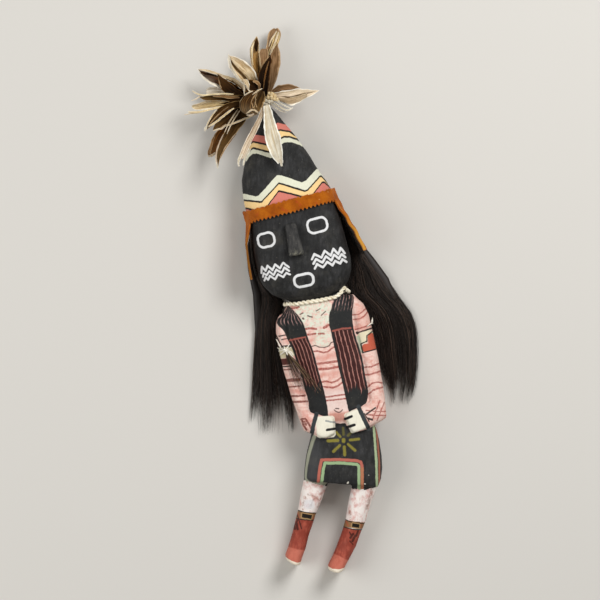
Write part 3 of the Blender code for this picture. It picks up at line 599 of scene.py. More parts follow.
# The sides of each strap as (v, u) places, then the v where its parts start and end
bandoliers = [
    {"leftmost": "outer",
     "outer": [(304, 288), (309, 286), (316, 281), (322, 276.6), (325, 278), (330, 283), (340, 288),
               (346, 291), (360, 296), (375, 301), (390, 305), (400, 308), (411, 310), (414, 318),
               (417, 328)],
     "inner": [(304, 287), (308, 291), (314, 297), (323, 303), (331, 306), (338, 308), (350, 313),
               (365, 317), (380, 321), (395, 325), (413, 328), (418, 328)],
     "stripeEnd": 324, "fringeTop": 338.5, "fringeEnd": 388, "phase": 0.15},
    {"leftmost": "inner",
     "outer": [(290, 347), (293, 348.6), (297, 353.6), (305, 353.2), (312, 352.2), (325, 353), (338, 356),
               (350, 360), (362, 363), (375, 365), (385, 367), (392, 368), (400, 367), (405, 363),
               (408, 356), (411.4, 349.4)],
     "inner": [(290, 338), (297, 335), (301, 333), (309, 331), (316, 329), (323, 329), (332, 331),
               (342, 333), (355, 336), (365, 338), (378, 341), (390, 344), (400, 346), (412, 349)],
     "stripeEnd": 309, "fringeTop": 330, "fringeEnd": 390, "phase": 0.17},
]
handShapes = {
    "patches": [((325.6, 426.4), (9.4, 10.8), 3.4, 4), ((355.6, 420.2), (9.0, 10.6), 2.6, 22)],
    "slits": [(2.6, (327, 429.4), (335.4, 428.2)), (2.7, (345, 418.6), (351.4, 415.9)),
              (2.9, (347, 426.8), (354.2, 424.4))],
    "faintSlit": [(1.9, (326, 420.6), (335, 422))],
    "wristbands": [(4.2, (316.4, 413.6), (314, 422), (311.6, 434)), (4.3, (358.2, 406.4), (368.4, 428.4))],
}
kiltLines = {
    "star": [(2.6, (350, 439.6), (358.6, 438.6)), (2.7, (348, 443.8), (354.8, 450)),
             (2.9, (344.2, 446.4), (344.6, 454.2)), (2.8, (339.6, 445), (333.2, 451)),
             (3.0, (328, 440.4), (337.6, 440)), (2.5, (336.4, 432), (340, 436.2)),
             (3.8, (343.4, 439.4), (343.5, 440.6))],
    "starDim": [(2.4, (343, 427.6), (343.4, 434)), (2.6, (350.4, 432.6), (347.8, 435.2))],
    "bracketRed": [(3.0, (318, 484), (319.4, 470), (321.4, 459.4), (340, 459), (357, 460.2), (360.4, 461.4),
                    (361.8, 465), (362, 490))],
    "bracketGreen": [(2.9, (321.4, 484), (323, 470), (324.8, 462.6), (341, 462.4), (356.8, 463.8),
                      (358.6, 465.6), (358.8, 490))],
    "bracketFaded": [(2.6, (362, 468), (362, 490))],
    "sideGreen": [(2.4, (373.6, 424), (375, 445), (376.2, 462), (376.8, 486))],
    "sideRed": [(1.8, (376, 424), (377.8, 445), (379.1, 462), (379.2, 484))],
    "leftBorder": (34.5, 40.5),  # how high up the side it starts and ends, in squares
    "chips": [(1.5, (347.2, 482.6), (347.8, 481.6)), (0.9, (344.6, 484.4), (345, 484.6)),
              (1.0, (364.4, 483.2), (365, 483.4)), (0.5, (368.4, 474.4), (368.6, 474.6))],
}
legLines = {
    "bootTop": [(280, 514), (296, 518), (305, 519.4), (316, 520.6), (328, 522), (332, 526), (345, 527.4),
                (353, 529.4), (366, 530)],
    "toe": [(278, 545), (290, 547), (298, 549.4), (306, 550), (320, 551), (328, 552), (335, 554),
            (341, 556.4), (346, 559.4), (354, 562)],
    "sole": [(278, 551), (283, 554), (286, 557), (291, 560), (297, 562.2), (304, 561), (320, 561),
             (327, 565.4), (332, 568.2), (339, 568.8), (346, 567)],
    "stains": [(2.2, (303.2, 509), (303, 503), (305, 497)), (2.0, (310, 507), (311.6, 500.6), (317, 496.6)),
               (2.0, (321.4, 492), (321, 500), (318, 507)), (3.0, (371.4, 488), (370, 498), (366.4, 508)),
               (2.0, (349.6, 511), (350.6, 518.6)), (1.6, (308, 494), (314, 496), (319, 500))],
    "pinks": [(2.6, (306, 487.4), (313, 484.6), (322, 486)), (2.4, (352, 499), (356, 505), (362, 503)),
              (3.0, (368, 489), (367, 500)), (2.4, (356, 513), (361, 516))],
    "cuffs": [(7.4, (294, 514), (318, 517)), (7.0, (342, 523), (366, 526))],
    "cuffLines": [(1.1, (296, 509.8), (305, 512), (318, 513.2)),
                  (1.0, (294, 518), (305, 519.6), (317, 520.4)),
                  (1.0, (344, 519), (352, 522), (365, 523.4)),
                  (1.1, (343, 526.6), (352, 529), (363, 529.8))],
    "cuffBars": [((306.8, 516), (4.9, 2.1), 0.6, -10), ((355.6, 525.3), (3.7, 1.9), 0.6, -9)],
    "cuffReds": [(2.0, (297.4, 513), (299, 517.4)), (1.6, (312, 515), (313.4, 519)),
                 (1.6, (346, 521), (348, 525)), (1.4, (361, 523), (360.4, 528))],
    "ties": [(1.4, (297.4, 515), (299.6, 522), (301.6, 528.4)), (1.6, (298, 519), (295.6, 524)),
             (2.6, (293.8, 524.4), (294.8, 528.6)), (2.4, (296.6, 523.6), (297.6, 529)),
             (2.4, (353, 534), (350.4, 537.6)), (2.4, (355.4, 535.4), (352.6, 541)),
             (2.0, (358, 531), (356, 536)), (1.4, (350, 541), (352.6, 544)),
             (1.6, (349.6, 532), (351, 535))],
}


def charcoalPaint(tree, grid):
    # Black paint brushed on wood: greyer where it dried thin
    streak = streaks(tree, grid, (0.32, 0.09, 0.2), 4.0, 0.62)
    cloud = grain(tree, grid, 0.07, 3.0, 0.6)
    share = calc(tree, "ADD", times(tree, streak, 0.55), times(tree, cloud, 0.45))
    return tonesAlong(tree, share, [(0.36, paintTones["charcoalDark"]), (0.5, paintTones["charcoal"]),
                                    (0.68, paintTones["charcoalLight"])])


def pinkPaint(tree, grid):
    cloud = softStep(tree, grain(tree, grid, 0.16, 4.0, 0.6), 0.42, 0.7)
    pale = softStep(tree, grain(tree, stretched(tree, grid, (1, 1, 1), (31, 7, 0)), 0.42, 3.0, 0.6), 0.4,
                    0.75)
    first = mixTones(tree, cloud, tone(paintTones["body"]), tone(paintTones["bodyPink"]))
    return mixTones(tree, times(tree, pale, 0.5), first, tone(paintTones["bodyPale"]))


def finishPaint(tree, shader, place, grid, colour, dust):
    colour = useGroup(tree, ageGroup, "Colour", Place=place, Colour=colour, Amount=dust)
    brush = streaks(tree, grid, (0.9, 0.16, 0.9), 3.0, 0.6)
    light = spread(tree, brush, 0.24, 0.88)
    feed(tree, shader.inputs["Base Color"], mixTones(tree, 1.0, colour, light, "MULTIPLY"))
    feed(tree, shader.inputs["Roughness"], spread(tree, brush, 0.3, 0.55))
    shader.inputs["Specular IOR Level"].default_value = 0.2
    pits = grain(tree, grid, 1.6, 3.0, 0.65)
    height = calc(tree, "ADD", times(tree, brush, 0.6), times(tree, pits, 0.4))
    addBump(tree, shader, height, 0.35, 0.25)


def startPaint(name):
    # The material, the place on the grid, and the three moves of every paint: draw lines, draw a ring
    # and lay a tone on
    material, tree, shader, place = startMaterial(name)
    grid, flat, *across = paintPlace(tree, place)
    reach = paintWork["widthWobble"]
    wobble = spread(tree, grain(tree, grid, paintWork["wobbleSize"], 2.0, 0.6), reach, -reach / 2)

    def drawn(lines, soft=0.32):
        return strokes(tree, flat, wobble, lines, soft)

    def ringed(*shape):
        return ring(tree, flat, wobble, *shape)

    def lay(mask, name, below, strength=1.0):
        if strength != 1.0:
            mask = times(tree, mask, strength)
        return mixTones(tree, mask, below, tone(paintTones[name]))

    return (material, tree, shader, place), (grid, flat, *across), (drawn, ringed, lay)


def headPaint():
    (material, tree, shader, place), (grid, flat, u, v, w), (drawn, ringed, lay) = startPaint("headPaint")
    colour = charcoalPaint(tree, grid)
    # Past the outline seen from above, the pattern goes straight round the side
    fromLeft = calc(tree, "MAXIMUM", u, lineThrough(tree, v, zoneLines["capLeft"]))
    within = calc(tree, "MINIMUM", fromLeft, lineThrough(tree, v, zoneLines["capRight"]))
    edges = {name: lineThrough(tree, within, points) for name, points in capLines.items()}
    onCap = past(tree, edges["brow"], v)
    bare = colour
    for name, shift, code in capLayers:
        mask = both(tree, onCap, past(tree, v, calc(tree, "ADD", edges[name], shift)))
        colour = lay(mask, code, colour) if code else mixTones(tree, mask, colour, bare)
    onFront = past(tree, w, 30.0, 2.0)
    marks = None
    for shape in faceLines["rings"]:
        mask = ringed(*shape)
        marks = mask if marks is None else calc(tree, "MAXIMUM", marks, mask)
    marks = calc(tree, "MAXIMUM", marks, drawn(faceLines["cheeks"]))
    thin = spread(tree, grain(tree, grid, 0.9, 2.0), 0.25, 0.84)
    colour = lay(both(tree, marks, onFront, thin), "white", colour)
    finishPaint(tree, shader, place, grid, colour, 0.5)
    return material


def bodyPaint():
    (material, tree, shader, place), (grid, flat, u, v, w), (drawn, _, lay) = startPaint("bodyPaint")
    colour = pinkPaint(tree, grid)
    onFront = past(tree, w, 20.0, 2.0)

    # Necklace and pendant: pale green over the pink
    pale = softStep(tree, patch(tree, flat, *bodyPatches["necklace"]), 2.0, -2.0)
    pendant = softStep(tree, patch(tree, flat, *bodyPatches["pendant"]), 1.5, -1.5)
    mottle = softStep(tree, grain(tree, grid, 0.3, 3.0, 0.7), 0.34, 0.56)
    colour = lay(both(tree, calc(tree, "MAXIMUM", pale, pendant), mottle), "pendant", colour)
    flecks = softStep(tree, grain(tree, stretched(tree, grid, (1, 1, 1), (5, 77, 3)), 0.26, 3.0, 0.6), 0.54,
                      0.66)
    colour = lay(both(tree, pale, flecks), "necklaceFleck", colour, 0.5)
    smudge = softStep(tree, patch(tree, flat, *bodyPatches["smudge"]), 2.2, -2.0)
    colour = lay(smudge, "smudge", colour, 0.85)
    colour = lay(drawn(bodyLines["halo"], 2.2), "halo", colour, 0.6)
    streaky = softStep(tree, streaks(tree, grid, (0.12, 0.5, 0.2), 3.0, 0.6), 0.5, 0.66)
    colour = lay(both(tree, streaky, past(tree, v, 326, 3)), "brushed", colour, 0.45)
    blush = both(tree, past(tree, u, 354.0, 3.0), past(tree, 334.0, v, 6.0), past(tree, v, 303.0, 5.0))
    colour = lay(blush, "shoulderBlush", colour, 0.32)
    belly = both(tree, past(tree, v, 388.0, 4.0), past(tree, u, 320.0, 2.0), past(tree, 354.0, u, 2.0),
                 past(tree, 411.0, v, 3.0))
    colour = lay(belly, "belly", colour, 0.65)
    thin = spread(tree, softStep(tree, grain(tree, grid, 0.7, 3.0, 0.7), 0.3, 0.62), 0.45, 0.55)
    colour = lay(both(tree, drawn(bolder(bodyLines["centre"], 1.25)), thin), "stripe", colour)
    colour = lay(drawn(bodyLines["centreDark"]), "darkStroke", colour, 0.9)
    colour = lay(both(tree, drawn(bolder(bodyLines["rightArm"], 1.2)), thin), "stripe", colour, 0.95)
    # The left arm's stripes are a darker copy of the stripe tone: painted shade, as the left arm lies on
    # the shaded side
    colour = lay(both(tree, drawn(bolder(bodyLines["leftArm"], 1.1)), thin), "leftArmStripe", colour)

    # Armbands
    onLeft = both(tree, drawn(bodyLines["leftBandPale"]), past(tree, 296.0, u))
    colour = lay(onLeft, "leftArmPale", colour, 0.8)
    colour = lay(drawn(bodyLines["leftBandRust"]), "darkRust", colour)
    colour = lay(drawn(bodyLines["rightBandPale"]), "armPale", colour)
    colour = lay(drawn(bodyLines["rightBandGreen"]), "armGreen", colour, 0.9)
    colour = lay(drawn(bodyLines["rightBandRust"]), "rust", colour)
    darks = drawn(bodyLines["rightArmDark"] + bodyLines["leftArmDark"])
    colour = lay(darks, "line", colour, 0.95)

    # The two black straps with their striped shoulders and red fringes
    for strap in bandoliers:
        outer = lineThrough(tree, v, strap["outer"], smooth=True)
        inner = lineThrough(tree, v, strap["inner"], smooth=True)
        low, high = (outer, inner) if strap["leftmost"] == "outer" else (inner, outer)
        top, bottom = strap["outer"][0][0], strap["outer"][-1][0]
        inside = both(tree, past(tree, u, low), past(tree, high, u), past(tree, v, top),
                      past(tree, bottom + 1.0, v))
        across = calc(tree, "DIVIDE", calc(tree, "SUBTRACT", u, low), calc(tree, "SUBTRACT", high, low))
        wave = spread(tree, streaks(tree, grid, (0.4, 0.1, 0.1), 2.0), 0.09, -0.045)
        shifted = calc(tree, "ADD", calc(tree, "ADD", across, wave), -strap["phase"])
        beat = calc(tree, "PINGPONG", shifted, strapWork["fringeBeat"])
        fringeZone = both(tree, inside, past(tree, v, strap["fringeTop"]),
                          past(tree, across, strapWork["fringeFrom"], 0.02),
                          past(tree, strapWork["fringeTo"], across, 0.02))
        ragged = spread(tree, streaks(tree, grid, (0.5, 0.02, 0.02), 1.0), strapWork["ragged"],
                        strap["fringeEnd"] - 15.0)
        fringeZone = both(tree, fringeZone, past(tree, ragged, v, 2.5))
        colour = lay(inside, "bandolier", colour)
        colour = lay(fringeZone, "fringe", colour, 0.9)
        faded = kept(tree, spread(tree, streaks(tree, grid, (0.7, 0.12, 0.1)), 0.9, 0.4))
        colour = lay(both(tree, fringeZone, softStep(tree, beat, 0.027, 0.01), faded), "fringeLine", colour)
        finer = calc(tree, "PINGPONG", shifted, strapWork["shoulderBeat"])
        shoulder = both(tree, inside, past(tree, strap["stripeEnd"], v, 3.0),
                        softStep(tree, finer, 0.026, 0.008))
        worn = softStep(tree, streaks(tree, grid, (0.6, 0.2, 0.1)), 0.3, 0.62)
        colour = lay(both(tree, shoulder, worn), "shoulderStripe", colour, 0.9)
    colour = lay(drawn(bodyLines["fringeTops"]), "fringeTop", colour, 0.9)

    # Hands, wristbands and the dark slits between the fingers
    hands = None
    for centre, half, corner, turn in handShapes["patches"]:
        mask = softStep(tree, patch(tree, flat, centre, half, corner, turn), 0.4, -0.4)
        hands = mask if hands is None else calc(tree, "MAXIMUM", hands, mask)

    # Kilt
    onKilt = past(tree, v, lineThrough(tree, u, zoneLines["waist"]))
    kilt = charcoalPaint(tree, grid)
    kilt = lay(past(tree, 320.0, u, 8.0), "kiltWorn", kilt, 0.4)
    kilt = lay(both(tree, drawn(kiltLines["bracketRed"]), onFront), "kiltRed", kilt)
    faded = drawn(kiltLines["bracketFaded"], 0.6)
    kilt = lay(both(tree, faded, onFront), "fadedRed", kilt, 0.6)
    kilt = lay(both(tree, drawn(kiltLines["bracketGreen"]), onFront), "green", kilt)
    onEdge = past(tree, w, 25.0, 1.5)
    kilt = lay(both(tree, drawn(kiltLines["sideRed"]), onEdge), "sideRed", kilt, 0.9)
    kilt = lay(both(tree, drawn(kiltLines["sideGreen"]), onEdge), "sideGreen", kilt)
    start, end = kiltLines["leftBorder"]
    border = both(tree, past(tree, w, start, 0.8), past(tree, end, w, 0.8), past(tree, 330.0, u))
    kilt = lay(border, "kiltBorder", kilt, 0.9)
    sheer = kept(tree, spread(tree, grain(tree, grid, 0.8, 3.0, 0.7), 0.7, 0.45))
    kilt = lay(both(tree, drawn(kiltLines["star"], 0.6), sheer, onFront), "star", kilt)
    kilt = lay(both(tree, drawn(kiltLines["starDim"], 0.7), onFront), "starDim", kilt, 0.8)
    kilt = lay(drawn(kiltLines["chips"]), "chip", kilt)
    colour = mixTones(tree, onKilt, colour, kilt)
    colour = lay(both(tree, hands, onFront), "handWhite", colour)
    bandsHere = both(tree, drawn(handShapes["wristbands"]), onFront)
    colour = lay(bandsHere, "wristband", colour)
    colour = lay(both(tree, drawn(handShapes["faintSlit"]), onFront), "faintSlit", colour, 0.8)
    colour = lay(both(tree, drawn(handShapes["slits"]), onFront), "slit", colour)

    # Under the chin the head's black goes on
    aboveChin = past(tree, lineThrough(tree, u, zoneLines["chin"]), v)
    colour = mixTones(tree, aboveChin, colour, charcoalPaint(tree, grid))
    finishPaint(tree, shader, place, grid, colour, 0.4)
    return material


def legPaint():
    (material, tree, shader, place), (grid, flat, u, v, _), (drawn, _, lay) = startPaint("legPaint")
    blotch = softStep(tree, streaks(tree, grid, (0.15, 0.1, 0.1), 4.0, 0.62), 0.45, 0.68)
    colour = mixTones(tree, blotch, tone(paintTones["legPale"]), tone(paintTones["legPink"]))
    drips = softStep(tree, streaks(tree, grid, (0.4, 0.12, 0.2), 3.0, 0.6, (3, 9, 0)), 0.58, 0.72)
    colour = mixTones(tree, times(tree, drips, 0.6), colour, tone(paintTones["legDrip"]))

    rubbed = softStep(tree, grain(tree, grid, 0.35, 3.0, 0.7), 0.3, 0.62)
    colour = lay(both(tree, drawn(legLines["pinks"], 2.2), rubbed), "legRose", colour, 0.75)
    colour = lay(both(tree, drawn(legLines["stains"], 1.1), rubbed), "legStain", colour, 0.75)
    cool = softStep(tree, patch(tree, flat, *bodyPatches["coolThigh"]), 2.0, -2.0)
    colour = lay(cool, "legCool", colour, 0.5)
    boots = past(tree, v, lineThrough(tree, u, legLines["bootTop"]))
    scuff = softStep(tree, streaks(tree, grid, (0.25, 0.1, 0.2), 4.0, 0.65), 0.4, 0.72)
    bootTone = mixTones(tree, scuff, tone(paintTones["bootDark"]), tone(paintTones["bootLight"]))
    colour = mixTones(tree, boots, colour, bootTone)
    toe = past(tree, v, lineThrough(tree, u, legLines["toe"]), 0.9)
    colour = lay(both(tree, toe, boots, spread(tree, scuff, -0.45, 1.0)), "toe", colour)
    colour = lay(past(tree, v, lineThrough(tree, u, legLines["sole"])), "sole", colour)
    colour = lay(drawn(legLines["cuffs"]), "cuff", colour)
    colour = lay(drawn(legLines["cuffReds"]), "cuffRed", colour, 0.8)
    colour = lay(drawn(legLines["cuffLines"]), "cuffLine", colour)
    for centre, half, corner, turn in legLines["cuffBars"]:
        edge = patch(tree, flat, centre, half, corner, turn)
        colour = lay(softStep(tree, edge, 1.4, 0.8), "barRim", colour)
        colour = lay(softStep(tree, edge, 0.3, -0.3), "bar", colour)
    colour = lay(drawn(legLines["ties"]), "lace", colour, 0.85)
    underKilt = past(tree, lineThrough(tree, u, zoneLines["hem"]), v)
    colour = mixTones(tree, underKilt, colour, charcoalPaint(tree, grid))
    finishPaint(tree, shader, place, grid, colour, 0.45)
    return material


# The head, beyond headFrom to headTo in metres, is smoothed most; the seams of the three paints lie a
# little off the drawn chin and hem
figureWork = {"voxel": 0.8, "roundedRounds": 14, "fineRounds": 3, "fineFactor": 0.35, "bodyShare": 0.15,
              "headFrom": 0.045, "headTo": 0.055, "knife": [(9.0, 0.16), (3.2, 0.07)], "floorGap": 0.03,
              "chinSeam": 3, "hemSeam": 2}


def carveFigure():
    figure = copyOfNode("carved_figure", "carvedFigure")
    remesh(figure, figureWork["voxel"])
    least, headFrom, headTo = figureWork["bodyShare"], figureWork["headFrom"], figureWork["headTo"]
    smoothWhere(figure, lambda point: least + (1 - least) * ramp(point.y, headFrom, headTo),
                figureWork["roundedRounds"])
    smoothWhere(figure, lambda point: 1.0, figureWork["fineRounds"], figureWork["fineFactor"])
    undulate(figure, figureWork["knife"])
    for vertex in figure.data.vertices:
        vertex.co.z = max(vertex.co.z, figureWork["floorGap"] * mm)
    for material in (headPaint(), bodyPaint(), legPaint()):
        figure.data.materials.append(material)
    for face in figure.data.polygons:
        u, v = toGrid(face.center)
        chin = np.interp(u, *zip(*zoneLines["chin"]))
        hem = np.interp(u, *zip(*zoneLines["hem"]))
        onHead, onLegs = v < chin - figureWork["chinSeam"], v > hem + figureWork["hemSeam"]
        face.material_index = 0 if onHead else 2 if onLegs else 1
    figure.data.shade_smooth()
    handIn(figure, "painted_wood", "carved_figure")


carveFigure()


# wornEnd: where the bare wood of the tip starts and where it is at its strongest, in mm
noseWork = {"voxel": 0.35, "smoothRounds": 4, "dent": [(2.4, 0.12), (0.9, 0.06)], "wornEnd": (77.0, 71.0),
            "tones": [(0.35, "#222222"), (0.55, "#353433"), (0.75, "#4b4946")], "wornTone": "#7e7c6c"}


def noseMaterial():
    material, tree, shader, place = startMaterial("dustyNose")
    grid = stretched(tree, place, (1000, 1000, 1000))
    base = tonesAlong(tree, streaks(tree, grid, (0.5, 0.15, 0.4), 4.0, 0.65), noseWork["tones"])
    low = softStep(tree, parts(tree, grid)[1], *noseWork["wornEnd"])
    spots = softStep(tree, grain(tree, grid, 0.8, 3.0, 0.7), 0.46, 0.66)
    worn = times(tree, times(tree, low, spots), 0.9)
    colour = mixTones(tree, worn, base, tone(noseWork["wornTone"]))
    colour = useGroup(tree, ageGroup, "Colour", Place=place, Colour=colour, Amount=0.6)
    feed(tree, shader.inputs["Base Color"], colour)
    finishSurface(shader, 0.78, 0.3)
    addBump(tree, shader, grain(tree, grid, 1.3, 4.0, 0.7), 0.5, 0.3)
    return material


def carveNose():
    nose = copyOfNode("nose_block", "noseBlock")
    remesh(nose, noseWork["voxel"])
    smoothWhere(nose, lambda point: 1.0, noseWork["smoothRounds"])
    undulate(nose, noseWork["dent"])
    nose.data.materials.append(noseMaterial())
    nose.data.shade_smooth()
    handIn(nose, "nose_wood", "nose_block")


carveNose()


# In mm. topEdge: height at the left end, rise per mm, how far down the nicks reach. toothLine: height in
# the middle of the band and rise per mm. flapWave: length, width and depth of a wave. flapShadeAndLight
# holds the painted shade on the viewer's left flap and the painted highlight on the right flap: from and to
# across, from and to down, strength, tone
bandWork = {"voxel": 0.36, "flapSwell": 0.45, "nap": [(6.0, 0.22), (1.6, 0.06)],
            "topEdge": (103.2, 0.0605, 1.4), "leftEnd": -33.4, "nickSize": 1.5, "nickDepth": 1.1,
            "toothLine": (98.08, 0.082), "toothGain": 0.5, "flapWave": (7.0, 20.0, 1.1), "smooth": (1, 0.3),
            "tones": [(0.34, "#8b4304"), (0.5, "#a05206"), (0.68, "#b1620c")],
            "stainTone": "#a8441c", "paleEdgeAndHighlightTone": "#d79a55",
            "flapShadeAndLight": [((-27.0, -29.0), (95.0, 80.0), 0.75, "#6a4c1c"),
                          ((29.0, 31.0), (96.0, 74.0), 0.8, "#cc963c")]}


def suedeMaterial():
    material, tree, shader, place = startMaterial("orangeSuede")
    grid = stretched(tree, place, (1000, 1000, 1000))
    colour = tonesAlong(tree, grain(tree, grid, 0.13, 4.0, 0.6), bandWork["tones"])
    nap = streaks(tree, grid, (3.2, 2.2, 3.2), 4.0, 0.75)
    colour = mixTones(tree, 1.0, colour, spread(tree, nap, 0.5, 0.76), "MULTIPLY")
    stain = softStep(tree, grain(tree, stretched(tree, grid, (1, 1, 1), (13, 4, 2)), 0.2, 2.0, 0.5), 0.62,
                     0.72)
    colour = mixTones(tree, times(tree, stain, 0.5), colour, tone(bandWork["stainTone"]))
    x, y, _ = parts(tree, grid)
    # Seen from the front, the flaps show only their cut edges; on these the colour is painted shade on the
    # viewer's left flap, which lies in shade, and a painted highlight on the right flap, which meets the
    # light
    facing = parts(tree, tree.nodes.new("ShaderNodeTexCoord").outputs["Normal"])[2]
    cutEdge = softStep(tree, facing, 0.2, 0.6)
    for side, drop, strength, code in bandWork["flapShadeAndLight"]:
        mask = both(tree, cutEdge, softStep(tree, x, *side), softStep(tree, y, *drop))
        colour = mixTones(tree, times(tree, mask, strength), colour, tone(code))
    # Sharp edges and folds turn lighter: partly the paler cut edge of the suede, partly a painted highlight
    geometry = tree.nodes.new("ShaderNodeNewGeometry")
    rim = softStep(tree, geometry.outputs["Pointiness"], 0.53, 0.62)
    colour = mixTones(tree, times(tree, rim, 0.55), colour, tone(bandWork["paleEdgeAndHighlightTone"]))
    feed(tree, shader.inputs["Base Color"], colour)
    finishSurface(shader, 0.95, 0.15)
    shader.inputs["Sheen Weight"].default_value = 0.1
    addBump(tree, shader, nap, 0.6, 0.25)
    return material


def thickenFlap(band):
    # The hanging flap on the viewer's right is thicker and wavier than the band
    long, wide, deep = bandWork["flapWave"]
    normals = [vertex.normal.copy() for vertex in band.data.vertices]
    for vertex, normal in zip(band.data.vertices, normals):
        u, v = toGrid(vertex.co)
        amount = ramp(u, 335, 339) * ramp(v, 198, 206)
        wave = noise.noise(Vector((vertex.co.y / (long * mm), 0, vertex.co.z / (wide * mm))))
        vertex.co += (normal * bandWork["flapSwell"] + Vector((deep * wave, 0, 0))) * mm * amount


def fray(band):
    # The upper edge was cut by hand and has small nicks. The teeth of the lower edge are cut deeper
    low, rise, reach = bandWork["topEdge"]
    toothLow, toothRise = bandWork["toothLine"]
    for vertex in band.data.vertices:
        x, y, z = vertex.co / mm
        top = low + rise * (x - bandWork["leftEnd"])
        nick = noise.noise(Vector((x, 0, z)) / bandWork["nickSize"])
        vertex.co.y += bandWork["nickDepth"] * nick * ramp(y, top - reach, top) * mm
        below = y - toothLow - toothRise * x
        vertex.co.y += bandWork["toothGain"] * below * ramp(below, 1.4, 0.8) * ramp(z, 30.5, 31.5) * mm


def cutHeadband():
    band = copyOfNode("leather_headband", "suedeHeadband")
    remesh(band, bandWork["voxel"])
    smoothWhere(band, lambda point: 1.0, *bandWork["smooth"])
    thickenFlap(band)
    fray(band)
    undulate(band, bandWork["nap"])
    band.data.materials.append(suedeMaterial())
    band.data.shade_smooth()
    handIn(band, "suede", "leather_headband")


cutHeadband()


# outer and inner are the sides of each lock, as (v, u) places
hairWork = {
    "left": {"strands": 980, "wisps": 30, "seed": 4, "rootV": 222, "tipV": (396, 436),
             "outer": [(222, 248.6), (262, 251.4), (280, 256.4), (292, 261), (300, 261.4), (306, 258.4),
                       (315, 256.4), (345, 254), (390, 250), (432, 245)],
             "inner": [(222, 252.6), (250, 254), (275, 260), (288, 268), (297, 280), (304, 284),
                       (310, 281.4), (318, 279), (330, 279.4), (345, 281), (360, 284), (380, 288),
                       (400, 293), (432, 296)],
             "low": 0.8, "high": 9.6},
    "right": {"strands": 1200, "wisps": 34, "seed": 9, "rootV": 204, "tipV": (378, 406),
              "outer": [(204, 341), (216, 346), (226, 351), (238, 358), (250, 364), (262, 371), (271, 380),
                        (285, 391), (301, 401.6), (311, 410), (324, 415), (339, 417), (362, 417),
                        (385, 415), (403, 410)],
              "inner": [(204, 336.4), (226, 340), (250, 346), (270, 347), (282, 342.4), (291, 341),
                        (297, 348), (304, 358), (314, 367), (330, 373.4), (345, 376.4), (360, 379.4),
                        (385, 385), (403, 388)],
              "low": 0.8, "high": 9.8},
    "points": 17,
    "radius": (0.05, 0.11),
    "wispWidth": 0.13,
    "loose": 0.1,
    "rootReach": 22,
    "rootShare": 0.12,
    "tones": ("#181412", "#302823", "#5e4c40"),
}
# The CAD lock, made thin and sunk into the strands, so that no light comes through. Lengths in metres
coreWork = {"tones": ("#181412", "#1e1815", "#241d19"), "rootWidth": 0.06, "fullFrom": 0.55, "width": 0.45,
            "height": 0.4, "sink": 0.0016, "shorter": 0.03, "lowest": 0.0006}


def hairMaterial(name, darkest, usual, light):
    material, tree, shader, place = startMaterial(name)
    geometry = tree.nodes.new("ShaderNodeNewGeometry")
    colour = tonesAlong(tree, geometry.outputs["Random Per Island"],
                        [(0.0, darkest), (0.55, usual), (0.86, usual), (0.93, light), (1.0, light)])
    along = streaks(tree, place, (500, 90, 500))
    feed(tree, shader.inputs["Base Color"],
         mixTones(tree, 1.0, colour, spread(tree, along, 1.1, 0.45), "MULTIPLY"))
    finishSurface(shader, 0.5, 0.25)
    return material


def lockOfHair(side, settings):
    # Every strand belongs to a wisp; the strands of a wisp draw together towards its tip
    chance = random.Random(settings["seed"])
    outerV, outerU = zip(*settings["outer"])
    innerV, innerU = zip(*settings["inner"])
    first, last = settings["tipV"]
    low, high = settings["low"], settings["high"]
    # Each wisp: its place across the lock, where it ends, how it leans and how it sways
    wisps = [(chance.random() ** 0.75, first + (last - first) * chance.random() ** 0.8,
              chance.uniform(-3, 3), chance.uniform(0, 6.28)) for wisp in range(settings["wisps"])]
    routes = []
    for strand in range(settings["strands"]):
        middle, tipV, lean, swayPhase = chance.choice(wisps)
        across = min(max(middle + chance.gauss(0, hairWork["wispWidth"]), 0.0), 1.0)
        level = chance.random()
        loose = chance.random() < hairWork["loose"]
        endV = tipV - abs(chance.gauss(0, 12)) if not loose else chance.uniform(first - 12, last)
        radius = chance.uniform(*hairWork["radius"])
        startV = settings["rootV"] + hairWork["rootReach"] * chance.random() ** 1.5
        drift = chance.uniform(-2.6, 2.6) if loose else chance.uniform(-0.7, 0.7)
        phase = chance.uniform(0, 6.28)
        gather = 0.0 if loose else chance.uniform(0.45, 0.85)
        route = []
        for step in range(hairWork["points"]):
            share = step / (hairWork["points"] - 1)
            v = startV + (endV - startV) * share
            a, b = np.interp(v, outerV, outerU), np.interp(v, innerV, innerU)
            place = across + (middle - across) * gather * share ** 1.6
            sway = 1.1 * math.sin(swayPhase + 4.2 * share) + 0.5 * math.sin(phase + 9 * share)
            u = a + (b - a) * place + (drift + lean * 0.5 * share + sway) * share
            heap = max(1 - (2 * place - 1) ** 2, 0)
            root = 0.45 + 0.55 * ramp(share, 0, hairWork["rootShare"])
            thick = (high - low) * (0.3 + 0.7 * heap) * (1 - 0.45 * share ** 3) * root
            route.append((onGrid(u, v, low + thick * level), radius * (1.0 - 0.7 * share ** 4)))
        routes.append(route)
    return tubesAsMesh("hair" + side.capitalize(), routes)


